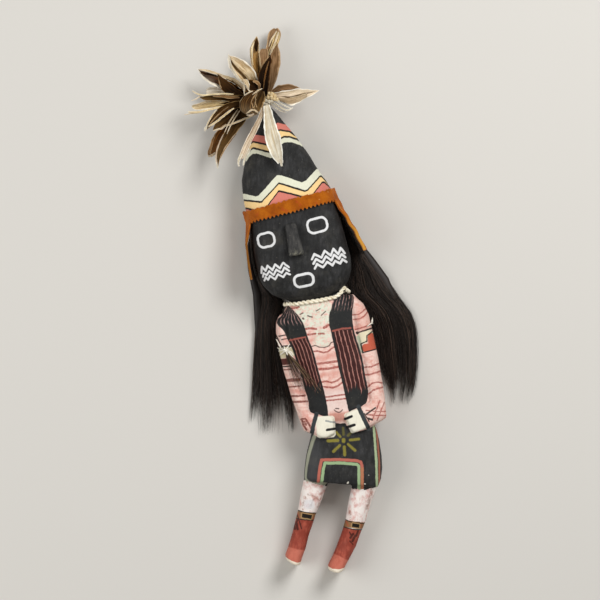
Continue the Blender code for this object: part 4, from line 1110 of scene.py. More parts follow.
def hairCore(nodeName):
    core = copyOfNode(nodeName, nodeName + "Core")
    low = min(vertex.co.y for vertex in core.data.vertices)
    high = max(vertex.co.y for vertex in core.data.vertices)
    rows = {}
    for vertex in core.data.vertices:
        rows.setdefault(round(vertex.co.y * 1e4), []).append(vertex)
    for row in rows.values():
        centre = sum((vertex.co for vertex in row), Vector()) / len(row)
        place = (centre.y - low) / (high - low)
        narrow = coreWork["rootWidth"] + (1 - coreWork["rootWidth"]) * ramp(place, 0.0,
                                                                            coreWork["fullFrom"])
        narrow *= 1 - 0.9 * ramp(place, 0.9, 1.0)
        for vertex in row:
            away = vertex.co - centre
            vertex.co = centre + Vector((away.x * coreWork["width"] * narrow, away.y,
                                         away.z * coreWork["height"] * narrow - coreWork["sink"]))
    shorter = coreWork["shorter"]
    for vertex in core.data.vertices:
        vertex.co.y = low + shorter + (vertex.co.y - low) * (high - low - shorter) / (high - low)
        vertex.co.z = max(vertex.co.z, coreWork["lowest"])
    core.data.shade_smooth()
    return core


def hangHair():
    material = hairMaterial("blackHorsehair", *hairWork["tones"])
    coreMaterial = hairMaterial("hairCore", *coreWork["tones"])
    for side, slotNode in (("left", "hair_left"), ("right", "hair_right")):
        lock = lockOfHair(side, hairWork[side])
        core = hairCore(slotNode)
        for piece, dressing in ((lock, material), (core, coreMaterial)):
            piece.data.materials.clear()
            piece.data.materials.append(dressing)
        joinInto(lock, core)
        handIn(lock, "horsehair", slotNode)


hangHair()

tuftWork = {"strands": 64, "seed": 3, "start": (285.5, 351), "ends": [(327, 399), (296, 393)],
            "radius": 0.085,
            "steps": 8, "height": 28.9, "arch": 0.9, "tones": ("#1a110c", "#402c1d", "#a88a64")}


def tieTuft():
    chance = random.Random(tuftWork["seed"])
    routes = []
    startU, startV = tuftWork["start"]
    first, second = tuftWork["ends"]
    for strand in range(tuftWork["strands"]):
        side, reach = chance.random() ** 1.3, 0.6 + 0.4 * chance.random()
        endU = first[0] + (second[0] - first[0]) * side
        endV = first[1] + (second[1] - first[1]) * side
        bend, level = chance.uniform(-2.5, 2.5), chance.random()
        route = []
        for step in range(tuftWork["steps"] + 1):
            share = step / tuftWork["steps"] * reach
            bow = math.sin(3.1 * share)
            u = startU + (endU - startU) * share + bend * bow
            v = startV + (endV - startV) * share - 2.5 * bow * (1 - side)
            height = tuftWork["height"] + 0.9 * level + tuftWork["arch"] * bow
            route.append((onGrid(u, v, height), tuftWork["radius"] * (1.3 - 0.7 * share)))
        routes.append(route)
    tuft = tubesAsMesh("armTuft", routes)
    tuft.data.materials.append(hairMaterial("brownTuft", *tuftWork["tones"]))
    handIn(tuft, "horsehair", "arm_tuft_left")


tieTuft()


# In mm; rises holds (degrees round the neck, how far up the cord lies there)
cordWork = {"radius": 0.76, "apart": 0.6, "plyTurn": 0.45, "steps": 720, "tones": ("#c8b892", "#faf2dc"),
            "left": -13.9, "right": 22.8, "back": 4.8, "front": 24.2, "y": 42.2, "offNeck": 1.35,
            "frontSquare": 2.5, "backSquare": 3.0,
            "rises": [(-180, 1.2), (-105, 0.6), (-20, 1.8), (8, 2.3), (22, 3.4), (31, 4.8), (38, 4.0),
                      (46, 1.8), (60, 0.3), (90, 0.0), (125, 0.3), (145, 0.9), (165, 1.3), (180, 1.2)]}


def threadMaterial(name, dark, light):
    material, tree, shader, place = startMaterial(name)
    fibre = streaks(tree, place, (2600, 1400, 2600), 3.0, 0.7)
    cloud = grain(tree, place, 260.0, 3.0)
    share = calc(tree, "ADD", times(tree, fibre, 0.5), times(tree, cloud, 0.5))
    colour = tonesAlong(tree, share, [(0.34, dark), (0.52, light), (0.8, "#f6efdf")])
    feed(tree, shader.inputs["Base Color"], colour)
    finishSurface(shader, 0.88, 0.2)
    addBump(tree, shader, fibre, 0.5, 0.15)
    return material


def roundNeck(degrees):
    # A place on the cord's way round the neck: 0 is the viewer's right and 90 the front
    angle = math.radians(degrees)
    square = 2 / (cordWork["frontSquare"] if math.sin(angle) > 0 else cordWork["backSquare"])
    across = math.copysign(abs(math.cos(angle)) ** square, math.cos(angle))
    up = math.copysign(abs(math.sin(angle)) ** square, math.sin(angle))
    halfX = (cordWork["right"] - cordWork["left"]) / 2 + cordWork["offNeck"]
    halfZ = (cordWork["front"] - cordWork["back"]) / 2 + cordWork["offNeck"]
    turned = (degrees + 180) % 360 - 180
    rise = np.interp(turned, *zip(*cordWork["rises"]))
    return Vector(((cordWork["right"] + cordWork["left"]) / 2 + across * halfX, cordWork["y"] + rise,
                   (cordWork["front"] + cordWork["back"]) / 2 + up * halfZ)) * mm


def twistCord():
    # Two plies that turn round each other along the route
    points = [roundNeck(-180 + 360 * step / cordWork["steps"]) for step in range(cordWork["steps"] + 1)]
    routes = []
    for ply in (0, math.pi):
        route, walked = [], 0.0
        for index, point in enumerate(points[:-1]):
            ahead = points[index + 1] - point
            walked += ahead.length
            forward = ahead.normalized()
            side = forward.cross(Vector((0, 1, 0))).normalized()
            other = forward.cross(side)
            angle = ply + walked / mm / cordWork["plyTurn"] / 2
            away = side * math.cos(angle) + other * math.sin(angle)
            route.append((point + away * cordWork["apart"] * mm,
                          cordWork["radius"] * (1 + 0.12 * math.sin(index * 0.21 + ply))))
        routes.append(route)
    cord = tubesAsMesh("neckCord", routes, 1)
    cord.data.materials.append(threadMaterial("creamCord", *cordWork["tones"]))
    handIn(cord, "cotton_cord", "neck_cord")


twistCord()

# Places on the grid as (u, v, height in mm); a knot has its radius as well
tieWork = {
    "steps": 8, "wrapRadius": 0.42, "stubRadius": 0.3, "rightRadius": 0.34,
    "tones": ("#b9b19c", "#f0ebdf"),
    "stubTones": ("#14100e", "#241c18", "#3a2c24"),
    "wraps": [[(276.2, 339, 21), (279, 344, 24.4), (281, 348, 27.2), (286, 350, 29.3), (291, 347, 29.6)],
              [(277.6, 347.6, 22.4), (281, 350.4, 27.4), (286, 350.4, 29.6), (290, 353, 29.6),
               (294.6, 360, 29.4)],
              [(278.6, 351, 24), (282, 350.2, 28), (286, 349.6, 29.9), (289.6, 343.8, 29.2)],
              [(280, 355, 25), (283, 352.6, 28.6), (285.4, 350.6, 30.2), (284, 346, 29.2)],
              [(286, 350.6, 30.2), (287, 353.6, 30), (288, 356, 29.4)],
              [(283, 349.4, 29.2), (286, 350.4, 30.4), (291, 351.4, 29.8), (293.4, 355, 29.4)]],
    "knots": [(284.4, 349.6, 29.5, 0.8), (286.4, 350.8, 29.8, 0.95), (288, 349.6, 29.4, 0.7)],
    "stubs": [[(285, 349.6, 29.3), (280.6, 344, 28.6), (277, 338, 27.6)],
              [(284, 348.6, 29), (279.4, 341.6, 28.2), (276.4, 334.6, 27)],
              [(289, 347.4, 29.4), (291.6, 345.6, 29.4)]],
    "right": [[(372.6, 318, 20.6), (371.6, 321, 22.4), (372.6, 324, 20.6)],
              [(370.6, 323.4, 24.2), (372.4, 321.6, 22.2), (372.2, 317.6, 21)],
              [(366.6, 326.4, 27.3), (370.4, 323.8, 25.2), (372.6, 322.8, 21.6)]],
}


def shortThreads(name, lines, radius):
    routes, steps = [], tieWork["steps"]
    for line in lines:
        spots = [onGrid(*spot) for spot in line]
        route = []
        for step in range(steps + 1):
            share = step / steps * (len(spots) - 1)
            index = min(int(share), len(spots) - 2)
            route.append((spots[index].lerp(spots[index + 1], share - index),
                          radius * (1.0 - 0.55 * abs(2 * step / steps - 1) ** 3)))
        routes.append(route)
    return tubesAsMesh(name, routes, 1)


def tieArms():
    left = shortThreads("armTieLeft", tieWork["wraps"], tieWork["wrapRadius"])
    for u, v, height, radius in tieWork["knots"]:
        bpy.ops.mesh.primitive_uv_sphere_add(segments=12, ring_count=8, radius=radius * mm,
                                             location=onGrid(u, v, height))
        bead = bpy.context.object
        bpy.ops.object.transform_apply(location=True, rotation=True, scale=True)
        joinInto(left, bead)
    left.data.materials.clear()
    left.data.materials.append(threadMaterial("whiteThread", *tieWork["tones"]))
    stubs = shortThreads("tieStubs", tieWork["stubs"], tieWork["stubRadius"])
    stubs.data.materials.append(hairMaterial("darkStubs", *tieWork["stubTones"]))
    joinInto(left, stubs)
    handIn(left, "cotton_cord", "arm_tie_left")
    right = shortThreads("armTieRight", tieWork["right"], tieWork["rightRadius"])
    right.data.materials.append(left.data.materials[0])
    handIn(right, "cotton_cord", "arm_tie_right")


tieArms()


# A shell with few drawn points or almost no hollow needs fewer faces; tearFrom is where the torn end starts
huskWork = {"rows": 30, "shortRows": 14, "columns": 10, "narrowColumns": 4, "ridgedColumns": 22,
            "thickness": 0.28, "ribTurns": 22.0, "ribDepth": 0.34, "fineDepth": 0.1, "tearFrom": 0.86,
            "tear": 1.6}
# middle, rim, streak, crease (its tone is painted shade in the fold), how bright it stays under the painted
# shade at the binding, where the rim's tone starts across
huskTones = {
    "ivory": ("#f2dfc4", "#f6efe0", "#c4ac88", "#6a5438", 0.85, 0.76),
    "pale": ("#e2cda8", "#f3ead8", "#b3956a", "#4a3418", 0.85, 0.76),
    "cream": ("#d8c4a2", "#efe6d2", "#a88c64", "#4a3218", 0.8, 0.7),
    "white": ("#d2cab6", "#efece0", "#baa888", "#8a7450", 1.0, 0.7),
    "straw": ("#f2deae", "#f8efd8", "#b3915a", "#6a4c28", 0.9, 0.66),
    "rose": ("#d3c0a4", "#ebdfcb", "#9c8066", "#5a4230", 0.85, 0.75),
    "amber": ("#c6a976", "#e4d09c", "#967648", "#5a4020", 0.8, 0.7),
    "ash": ("#b59d7c", "#dfd0b4", "#8a7254", "#5a4a38", 0.9, 0.8),
    "blush": ("#987654", "#bc9c76", "#6e5032", "#5a4020", 0.5, 0.75),
    "tan": ("#97724a", "#cfae82", "#66472a", "#40260f", 0.5, 0.72),
    "ochre": ("#b1874c", "#dcc49c", "#7c5a2c", "#341e0c", 0.6, 0.7),
    "walnut": ("#573d1d", "#a98a5e", "#30200c", "#20140a", 0.6, 0.78),
    "boat": ("#713f10", "#f2e8d4", "#2c180a", "#1a0e06", 0.4, 0.55),
    "bark": ("#4a3012", "#a88450", "#241406", "#140b04", 0.45, 0.85),
    "umber": ("#301b07", "#76532a", "#180d04", "#120a04", 0.5, 0.82),
    "dark": ("#201105", "#523418", "#120903", "#0c0704", 0.5, 0.8),
    "rust": ("#7d4a18", "#a9845a", "#3e230c", "#22140a", 0.5, 0.78),
    "grey": ("#f4ebdc", "#efe6d4", "#b8a68c", "#5a4a38", 1.0, 0.72),
    "ridged": ("#694a27", "#cdb48c", "#2c1a09", "#1c1108", 0.9, 0.86),
}


def strip(toneName, width, *points):
    # A narrow shell along one line: a curled rim or a torn strand of husk
    rims = ([], [])
    for index, (u, v, height) in enumerate(points):
        before, after = points[max(index - 1, 0)], points[min(index + 1, len(points) - 1)]
        half = width / 2 * (1.0 if 0 < index < len(points) - 1 else 0.5)
        half /= math.hypot(after[0] - before[0], after[1] - before[1])
        across = ((before[1] - after[1]) * half, (after[0] - before[0]) * half)
        rims[0].append((u + across[0], v + across[1], height))
        rims[1].append((u - across[0], v - across[1], height))
    return (toneName, 0.1, None, 0.0, *rims)


# Each leaf has one or more shells: tone, depth of its hollow in mm, crease as (place across, width) or
# None, how torn its end is, then its two rims from the binding to the tip as (u, v, height in mm)
leaves = [
    [("blush", 1.4, None, 1.0,
      [(265, 93, 16), (260, 76, 16), (258.6, 62, 15), (260, 53, 14), (266, 48, 12), (267, 38, 10),
       (269.4, 31, 9.4), (274, 28.2, 9)],
      [(271, 93, 16), (277, 78, 15), (280.4, 64, 14), (279.6, 52, 12), (278.4, 44, 11), (280.4, 37, 10),
       (279.6, 31, 9.4), (277, 28.2, 9)]),
     ("amber", 0.4, None, 0.6, [(267, 58, 13), (270, 48, 13), (273, 40, 12), (275, 33, 11), (277, 31, 10)],
      [(269, 58, 13), (273.6, 49, 13), (278, 42, 12), (279.6, 36, 11), (279.6, 32, 10)]),
     strip("cream", 1.7, (268.6, 57.6, 14), (271.6, 50.4, 14.2), (275, 43, 13.4), (277.2, 36, 12.4),
           (278.6, 31.4, 11.2)),
     strip("pale", 1.4, (268.6, 46.6, 12.8), (270.6, 41, 12.8), (273.6, 36, 12.4), (276.8, 30.4, 11.2))],
    [("ochre", 1.8, None, 0.0,
      [(262, 92, 18), (256, 76, 19), (250.6, 62, 20), (249.8, 50, 19.6), (252, 43, 19), (256.6, 36.4, 18)],
      [(266, 92, 18), (262, 76, 19), (260.4, 62, 20), (259.6, 50, 19.6), (258.8, 43, 19), (257, 36.4, 18)]),
     # The small umber shell is painted shade in the hollow of the curled tip
     ("umber", 0.3, None, 0.0, [(255.6, 52, 20.2), (254.2, 46, 20.6), (255, 41.6, 20.6), (257, 38, 19.6)],
      [(257, 52, 20.2), (258.4, 46, 20.6), (258.4, 41.6, 20.6), (257.2, 38, 19.6)]),
     strip("walnut", 1.8, (258.6, 74, 19.4), (258.8, 66, 20), (258.2, 59, 20.2), (258.6, 53, 20)),
     strip("straw", 2.0, (253, 66, 20.4), (251.8, 56, 20.8), (252.2, 48, 20.6), (254.6, 42, 20.2)),
     ("blush", 0.8, None, 0.5, [(262, 84, 17), (258, 68, 17.6), (258, 56, 17), (261, 49, 16)],
      [(268, 84, 17), (267.4, 68, 17.6), (268.4, 56, 17), (268, 48, 16)])],
    [("dark", 1.2, None, 0.0,
      [(264, 97, 24), (258.2, 85, 27), (258.6, 76, 28), (261.6, 68, 28.6), (265.6, 61, 28.6),
       (269.8, 55.4, 28)],
      [(267.4, 97, 24), (269, 85, 27), (269.8, 76, 28), (270.6, 68, 28.6), (271.6, 62, 28.6),
       (270.4, 55.4, 28)]),
     strip("tan", 0.9, (260.6, 70, 28.8), (263, 65, 29.2), (266, 61, 29.2), (269.4, 56.8, 28.8)),
     strip("rust", 1.2, (263.4, 90, 26.6), (264.6, 80, 28), (266.6, 70, 28.6), (269, 62, 28.6))],
    [("pale", 2.0, (0.36, 0.2), 0.0,
      [(262, 91, 21), (258.6, 81, 24), (255.4, 72, 27), (249, 65, 28.4), (243, 60.4, 29), (236, 57.6, 29),
       (230.4, 56.8, 28.6), (228.4, 54.4, 28)],
      [(255, 93, 21), (246.6, 88.6, 23), (240.6, 82.4, 26), (235, 76.8, 27.6), (230.6, 70.8, 28.6),
       (228.6, 65, 29), (228, 59, 28.6), (228.4, 54.4, 28)]),
     strip("white", 2.2, (243, 82.6, 26.6), (237.6, 77.4, 28.2), (232.4, 70, 29.2), (229.8, 62, 29.4),
           (228.6, 55.4, 28.6))],
    [("boat", 2.8, None, 0.0,
      [(258, 95, 17), (250, 89.4, 18.4), (243, 85.6, 19), (237, 82, 19.6), (230, 78.8, 20.2),
       (223, 76, 20.6), (217, 74, 21), (210, 71.8, 21.4), (205, 70.6, 21.6), (201, 69.8, 21.4),
       (197.6, 69.2, 21)],
      [(256, 100, 16), (246, 97, 17), (236, 94.4, 18), (228, 92, 19), (221, 89, 19.8), (214.6, 86, 20.6),
       (209, 83.2, 21), (204.4, 80, 21.2), (201.2, 76.6, 21.2), (199.6, 73, 21), (197.6, 69.2, 21)]),
     # The dark strip is a painted shadow under the top rim
     strip("dark", 2.0, (218, 76.6, 21.2), (211, 75, 21.6), (205, 74, 21.8), (200.6, 72, 21.8)),
     strip("pale", 2.4, (224, 76, 22), (215, 73.2, 22.4), (207, 71, 22.4), (199.6, 69.8, 22)),
     ("pale", 0.2, None, 0.4,
      [(218, 73.8, 22), (226, 75.8, 22.4), (233, 78, 22.6), (240, 81.6, 22.4), (247, 87.6, 22)],
      [(218.4, 75.6, 22), (225.6, 79.6, 22.4), (232, 83.2, 22.6), (238, 87, 22.4), (243.6, 92, 22)]),
     strip("bark", 1.2, (226, 79.2, 23.2), (232.6, 82.4, 23.4), (238.6, 86, 23.2), (243.4, 90.4, 22.8)),
     strip("umber", 0.9, (232, 80.6, 23.2), (235, 83.6, 23.4), (238, 87.4, 23))],
    [("umber", -1.0, None, 0.0,
      [(258, 98, 20), (250, 96, 20.8), (243, 93.4, 21.4), (236, 88, 22), (230, 83, 22.4), (224, 78.8, 22.6),
       (217.8, 74.4, 22.6)],
      [(254, 103, 18), (246, 101, 19), (238, 99, 20), (230, 97, 20.8), (224, 92.4, 21.4), (219.6, 85.4, 22),
       (217.8, 74.4, 22.6)]),
     strip("tan", 1.0, (218.4, 77, 23), (219.4, 83, 23), (221.6, 88.6, 22.6)),
     strip("bark", 2.4, (221, 81, 22.8), (228, 88, 22.6), (236, 94, 22))],
    [("grey", -0.6, None, 0.7,
      [(246, 94, 10), (236, 91, 11), (226, 87.8, 12.4), (216, 86.4, 13), (209, 87.2, 13),
       (206.4, 90, 12.4)],
      [(246, 100, 10), (236, 98.4, 10.6), (225, 96.6, 12), (214, 96.4, 12.8), (208, 95.8, 12.8),
       (206.4, 92.6, 12.4)])],
    [("bark", 1.2, None, 0.0,
      [(256, 96, 20), (245, 95.4, 22), (235, 95.2, 23.6), (225, 94.8, 25.6), (217, 95, 27), (209, 96, 28),
       (203, 97, 28.4), (198.6, 97, 28.4)],
      [(256, 103, 20), (245, 103, 20.4), (235, 102.6, 21), (226, 101, 23), (217, 101, 26), (210, 101.4, 27),
       (204, 100.6, 28), (198.6, 97.4, 28.4)]),
     strip("tan", 3.0, (240, 98, 23.6), (230, 97.6, 25.6), (221, 96.6, 27.4), (213, 96.6, 28)),
     strip("straw", 1.7, (234, 94.8, 26), (224, 94.4, 28.4), (213, 95.2, 30), (204, 96, 30.8),
           (197.4, 94.6, 31), (192.6, 91.4, 31)),
     strip("pale", 1.0, (204, 97.4, 29.6), (199.6, 97.6, 30), (196, 100, 30), (191.4, 101.6, 30))],
    [("straw", 0.8, None, 0.7,
      [(254, 102, 17), (242, 102, 18), (232, 101.6, 19.6), (224, 101.2, 21), (216, 100.8, 22.4),
       (208, 100.4, 23), (202, 102.4, 23), (196, 104.6, 22.6), (192, 105.4, 22)],
      [(254, 107, 16), (242, 106.6, 17), (232, 106, 18.6), (224, 106.8, 20), (216, 108.2, 21),
       (208, 109.8, 21.4), (202, 110.6, 21.4), (197, 110.8, 21.4), (192, 108, 21.6)]),
     strip("pale", 1.4, (212, 101.8, 24), (206, 102.4, 24.4), (200, 104.2, 24), (193, 105.4, 23)),
     strip("amber", 1.0, (228, 104.4, 22), (218, 105.2, 23.2), (208, 106.2, 23.6), (199, 107.4, 23.2)),
     strip("straw", 2.2, (236, 105, 21), (225, 106.6, 22.4), (214, 109, 23), (204, 111.4, 23),
           (196, 112.6, 22.4), (188, 112.2, 21.8)),
     strip("cream", 1.5, (206, 111.6, 22.4), (199, 113, 22), (192, 113.6, 21.4), (184.4, 115, 20.6)),
     # The dark shell is a painted shadow over the leaf's right part, under the leaves above it
     ("dark", 0.4, None, 0.0, [(246, 100, 21), (234, 100.8, 22), (226, 102.6, 22.6), (218, 104.6, 23)],
      [(246, 106, 20.6), (236, 106, 21.4), (228, 105.6, 22.2), (218, 105.2, 23)])],
    [("bark", 2.0, None, 0.0,
      [(250, 99, 21), (238, 101, 23), (228, 103.6, 26), (220, 107.4, 28), (214.4, 113, 29.6),
       (210, 120, 30.6), (206.6, 126.6, 31), (205, 132, 31)],
      [(252, 106, 21), (243, 107, 23), (234, 109.6, 26), (227, 115, 28), (220, 121, 29.6),
       (213.6, 125.6, 30.6), (209, 128.6, 31), (205, 132, 31)]),
     strip("straw", 1.3, (217.4, 110, 29.6), (213, 115.6, 31), (209.4, 121.6, 31.8), (207, 126.6, 32),
           (205.4, 131.4, 31.6)),
     strip("straw", 2.0, (234.4, 108.6, 27.4), (227, 114, 29.6), (220, 120, 31), (213.6, 124.6, 31.8),
           (208.6, 127.4, 31.8)),
     strip("tan", 0.9, (229, 107, 28), (222, 112.4, 30), (215.6, 118.4, 31), (210.4, 124.4, 31.6)),
     strip("white", 2.6, (207.4, 126.4, 32), (206, 129, 32), (205.2, 132, 31.6))],
    [("bark", 1.0, None, 0.2,
      [(252, 100, 11), (242, 103, 12), (232, 107.6, 13), (224, 114, 13), (216.6, 120.6, 12.6),
       (212.6, 130, 12)],
      [(259, 113.6, 13), (249, 117.6, 14), (240, 121.6, 14.4), (232, 124.8, 14), (224, 127.4, 13.4),
       (213.4, 131, 12)]),
     strip("umber", 2.0, (238, 111.6, 14), (230, 118.4, 14.8), (222, 125, 14.4)),
     strip("pale", 1.8, (258.4, 114, 22), (250, 117, 22.6), (243, 119.8, 22.8), (236, 122.8, 22.6),
           (230, 125.2, 22), (225.8, 125.6, 21.4), (221.6, 128.8, 20.4), (218.6, 129.2, 19.6),
           (213, 130.8, 18))],
    [("rust", 1.6, None, 0.3,
      [(248, 106, 12), (233, 117, 12.6), (222, 126, 13), (215.6, 132.4, 14), (212, 140, 15),
       (209.2, 147, 15), (207.8, 154, 15), (208.6, 157, 15)],
      [(253, 110, 12), (241, 119, 12), (232, 127, 13), (226.4, 133, 14), (222.6, 140, 15), (219.4, 147, 15),
       (216.4, 153, 15), (212, 156.6, 15)]),
     strip("tan", 2.2, (215.6, 133.6, 15), (212.4, 141, 16.4), (210.6, 149, 16.4), (210, 154, 16)),
     strip("cream", 2.2, (208.2, 156.6, 16.4), (211.6, 155.4, 16.6), (215.4, 152.6, 16.6))],
    [("walnut", 1.8, None, 0.2,
      [(250, 106, 17), (237, 112, 17.4), (229, 123, 18), (223.4, 134, 21), (219.4, 143, 24), (217, 151, 26),
       (215.4, 158, 27), (216.6, 164, 27.6), (217.6, 168.4, 28)],
      [(257, 109, 17), (249, 117, 17.4), (241, 127, 18), (234.6, 135.4, 21), (228.6, 143, 24),
       (224.2, 150, 26), (221, 157, 27), (219, 163, 27.6), (218.2, 168.4, 28)]),
     strip("cream", 1.1, (238, 109.4, 22), (233.4, 116.2, 22.6), (229, 123.2, 22.8), (224.6, 133, 24)),
     strip("cream", 1.1, (240.4, 110.4, 22), (235.8, 117.2, 22.6), (231.4, 124.4, 22.8), (227, 134.4, 24)),
     strip("rose", 1.4, (223.6, 134.6, 23), (220.2, 142, 25.6), (217.4, 150, 27.6), (216.2, 158, 28.6),
           (217, 164, 29), (218, 168.6, 28.8)),
     strip("tan", 1.0, (236.6, 134, 22), (230, 142.4, 24.6), (225, 150, 26.8), (220.4, 159, 28)),
     strip("white", 1.6, (216.8, 163, 29.2), (217.4, 166, 29.2), (218.4, 169, 28.8))],
    [("ridged", -1.5, None, 0.3,
      [(258, 91.4, 29), (251, 93, 32), (246, 95.6, 32), (242, 99, 31), (239.8, 104, 30.4),
       (240.4, 109.6, 30), (244, 113.4, 29), (247.6, 115.4, 28.4)],
      [(261, 91.6, 30), (258, 94.6, 32), (256.4, 98, 33), (255.6, 101, 33.4), (255, 105, 33.4),
       (254.8, 108.6, 33), (255.4, 111.6, 32), (258, 113.8, 30)]),
     ("walnut", 1.0, None, 0.0,
      [(261.4, 90.4, 31), (257, 94, 32.4), (253.4, 98.6, 33.6), (251.8, 103, 34), (253.4, 107.6, 34),
       (256, 111.6, 32.6)],
      [(264, 92, 28.6), (265, 97, 29.4), (264.8, 101, 29.6), (264, 105, 29.4), (261.6, 109, 29),
       (258.8, 112.8, 29.8)]),
     strip("tan", 0.8, (261.6, 90.6, 32), (257, 94.2, 33.6), (253.6, 98.4, 34.6), (251.6, 102.8, 34.8),
           (252.6, 105.4, 34.8), (253.4, 109, 34.4)),
     strip("tan", 0.7, (256.6, 99.6, 33.6), (255.6, 104, 34), (257.2, 108.4, 33.6)),
     strip("pale", 1.3, (244.4, 96.6, 33), (248.6, 93.8, 34), (253, 92, 33.8)),
     strip("pale", 1.2, (252.4, 95.8, 34.8), (256, 93.2, 34.6), (259.4, 90.8, 34), (262.6, 89.4, 33)),
     strip("pale", 1.5, (246.2, 114.2, 31.2), (249, 112.8, 33), (251.4, 111, 34), (254.4, 111, 34),
           (257.2, 112.6, 33), (258.6, 114.6, 31)),
     strip("rose", 1.6, (246.6, 115.6, 30.4), (250.4, 116.2, 31.6), (254.4, 114.6, 32))],
    [("umber", 1.6, None, 0.4, [(262, 93, 25), (256, 91.6, 27), (250, 91.4, 28), (245, 92, 28)],
      [(264, 88, 25), (259, 82.4, 27), (252, 80, 28), (246.4, 82, 28)]),
     strip("tan", 3.0, (259, 90, 27.4), (259.4, 86, 28.2), (257, 83, 28.6), (253, 82, 28.6)),
     ("pale", 0.2, None, 0.0, [(242.6, 79.6, 28.6), (244.6, 84, 28.8), (247, 88, 28), (249, 90.2, 27)],
      [(246.6, 79.8, 28.6), (248.6, 82, 28.8), (249.8, 86, 28), (249.2, 90.2, 27)]),
     strip("cream", 1.5, (244.2, 84, 29.2), (244.4, 90, 29.2), (244.8, 96.4, 29)),
     strip("cream", 1.1, (246.4, 88, 29), (249.6, 91.4, 29.4), (252.6, 93, 29.6))],
    [("rose", 0.5, None, 0.8,
      [(262.4, 106, 28), (258.4, 117, 32), (253.6, 126, 35), (248.4, 136, 37.4), (243.6, 146, 39),
       (240.4, 154, 39.8), (238.4, 160.4, 40)],
      [(266, 107, 28), (263.2, 118, 32), (259.4, 127, 35), (255, 137, 37.4), (250.6, 146, 39),
       (247.4, 153, 39.8), (243.6, 159.6, 40)]),
     ("white", 0.1, None, 0.2, [(240.4, 154, 40), (238, 160, 40.2), (237.8, 164, 40.2), (238.8, 167.6, 40)],
      [(243.4, 155, 40), (240.8, 160.6, 40.2), (239.8, 164, 40.2), (240.2, 167.4, 40)]),
     ("white", 0.1, None, 0.2, [(249.4, 149, 39.4), (246, 155, 39.8), (243.6, 161, 40), (243, 166.6, 40)],
      [(251.4, 150, 39.4), (248.4, 155.6, 39.8), (245.8, 161, 40), (244.6, 166.4, 40)])],
    [("white", 0.9, None, 1.0,
      [(264, 106, 30), (263.8, 118, 34), (264.2, 130, 37.4), (265.2, 140, 39.6), (268, 149, 41.2),
       (271.4, 156, 42), (274.6, 160.6, 42.4), (277.6, 164.4, 42.4)],
      [(269.4, 105, 30), (272.6, 114, 33.6), (276, 124, 37), (279.2, 133, 39.2), (281.4, 141, 40.8),
       (282.6, 149, 41.6), (283.2, 157, 42.2), (283.8, 163.6, 42.4)]),
     ("white", 0.1, None, 0.0, [(279.6, 160, 42.6), (280, 164, 42.6), (281, 167.4, 42.4)],
      [(282, 160, 42.6), (282.6, 164, 42.6), (282.8, 167.2, 42.4)])],
    [("ivory", 1.4, (0.02, 0.13), 0.1,
      [(269, 94, 19), (276, 92.6, 21), (284, 90.6, 22.6), (294, 89.2, 23.6), (304, 89.2, 24),
       (312, 90, 23.6), (319.4, 90.8, 23)],
      [(271, 99, 19), (279, 101.4, 20.6), (285.6, 104.4, 21.6), (291, 106, 22.6), (297.6, 103.8, 23),
       (305, 99.6, 23.4), (312, 96, 23.4), (319.4, 90.8, 23)]),
     ("ash", 0.3, None, 0.1,
      [(273, 98, 20.6), (280, 98.6, 21.4), (289, 98, 22.4), (298, 96, 23.2), (307, 93.6, 23.6)],
      [(273, 99.6, 20.6), (281, 101.8, 21.4), (290, 104.8, 22.8), (298, 102.4, 23.4), (307, 97.6, 23.8)])],
    [("blush", 0.8, None, 0.3,
      [(268, 93, 12), (275, 87, 11.6), (283, 84, 11.6), (292, 84.6, 11.4), (301, 88.6, 11)],
      [(268, 98, 12), (276, 95, 11.6), (284, 93, 11.6), (292, 92, 11.4), (301, 90.6, 11)])],
    [strip("white", 1.8, (270.6, 101.4, 22), (276, 104.6, 25), (282.6, 109, 26), (288, 110.8, 26),
           (293, 108, 25.4)),
     strip("white", 1.6, (269.6, 102.4, 22), (275, 107.4, 24), (280.6, 111.2, 24.6), (286.4, 112.8, 24.6)),
     strip("white", 1.4, (275.6, 100.6, 22.4), (281, 104.2, 24.6), (286.4, 107, 25.2), (291, 108.6, 25))],
]


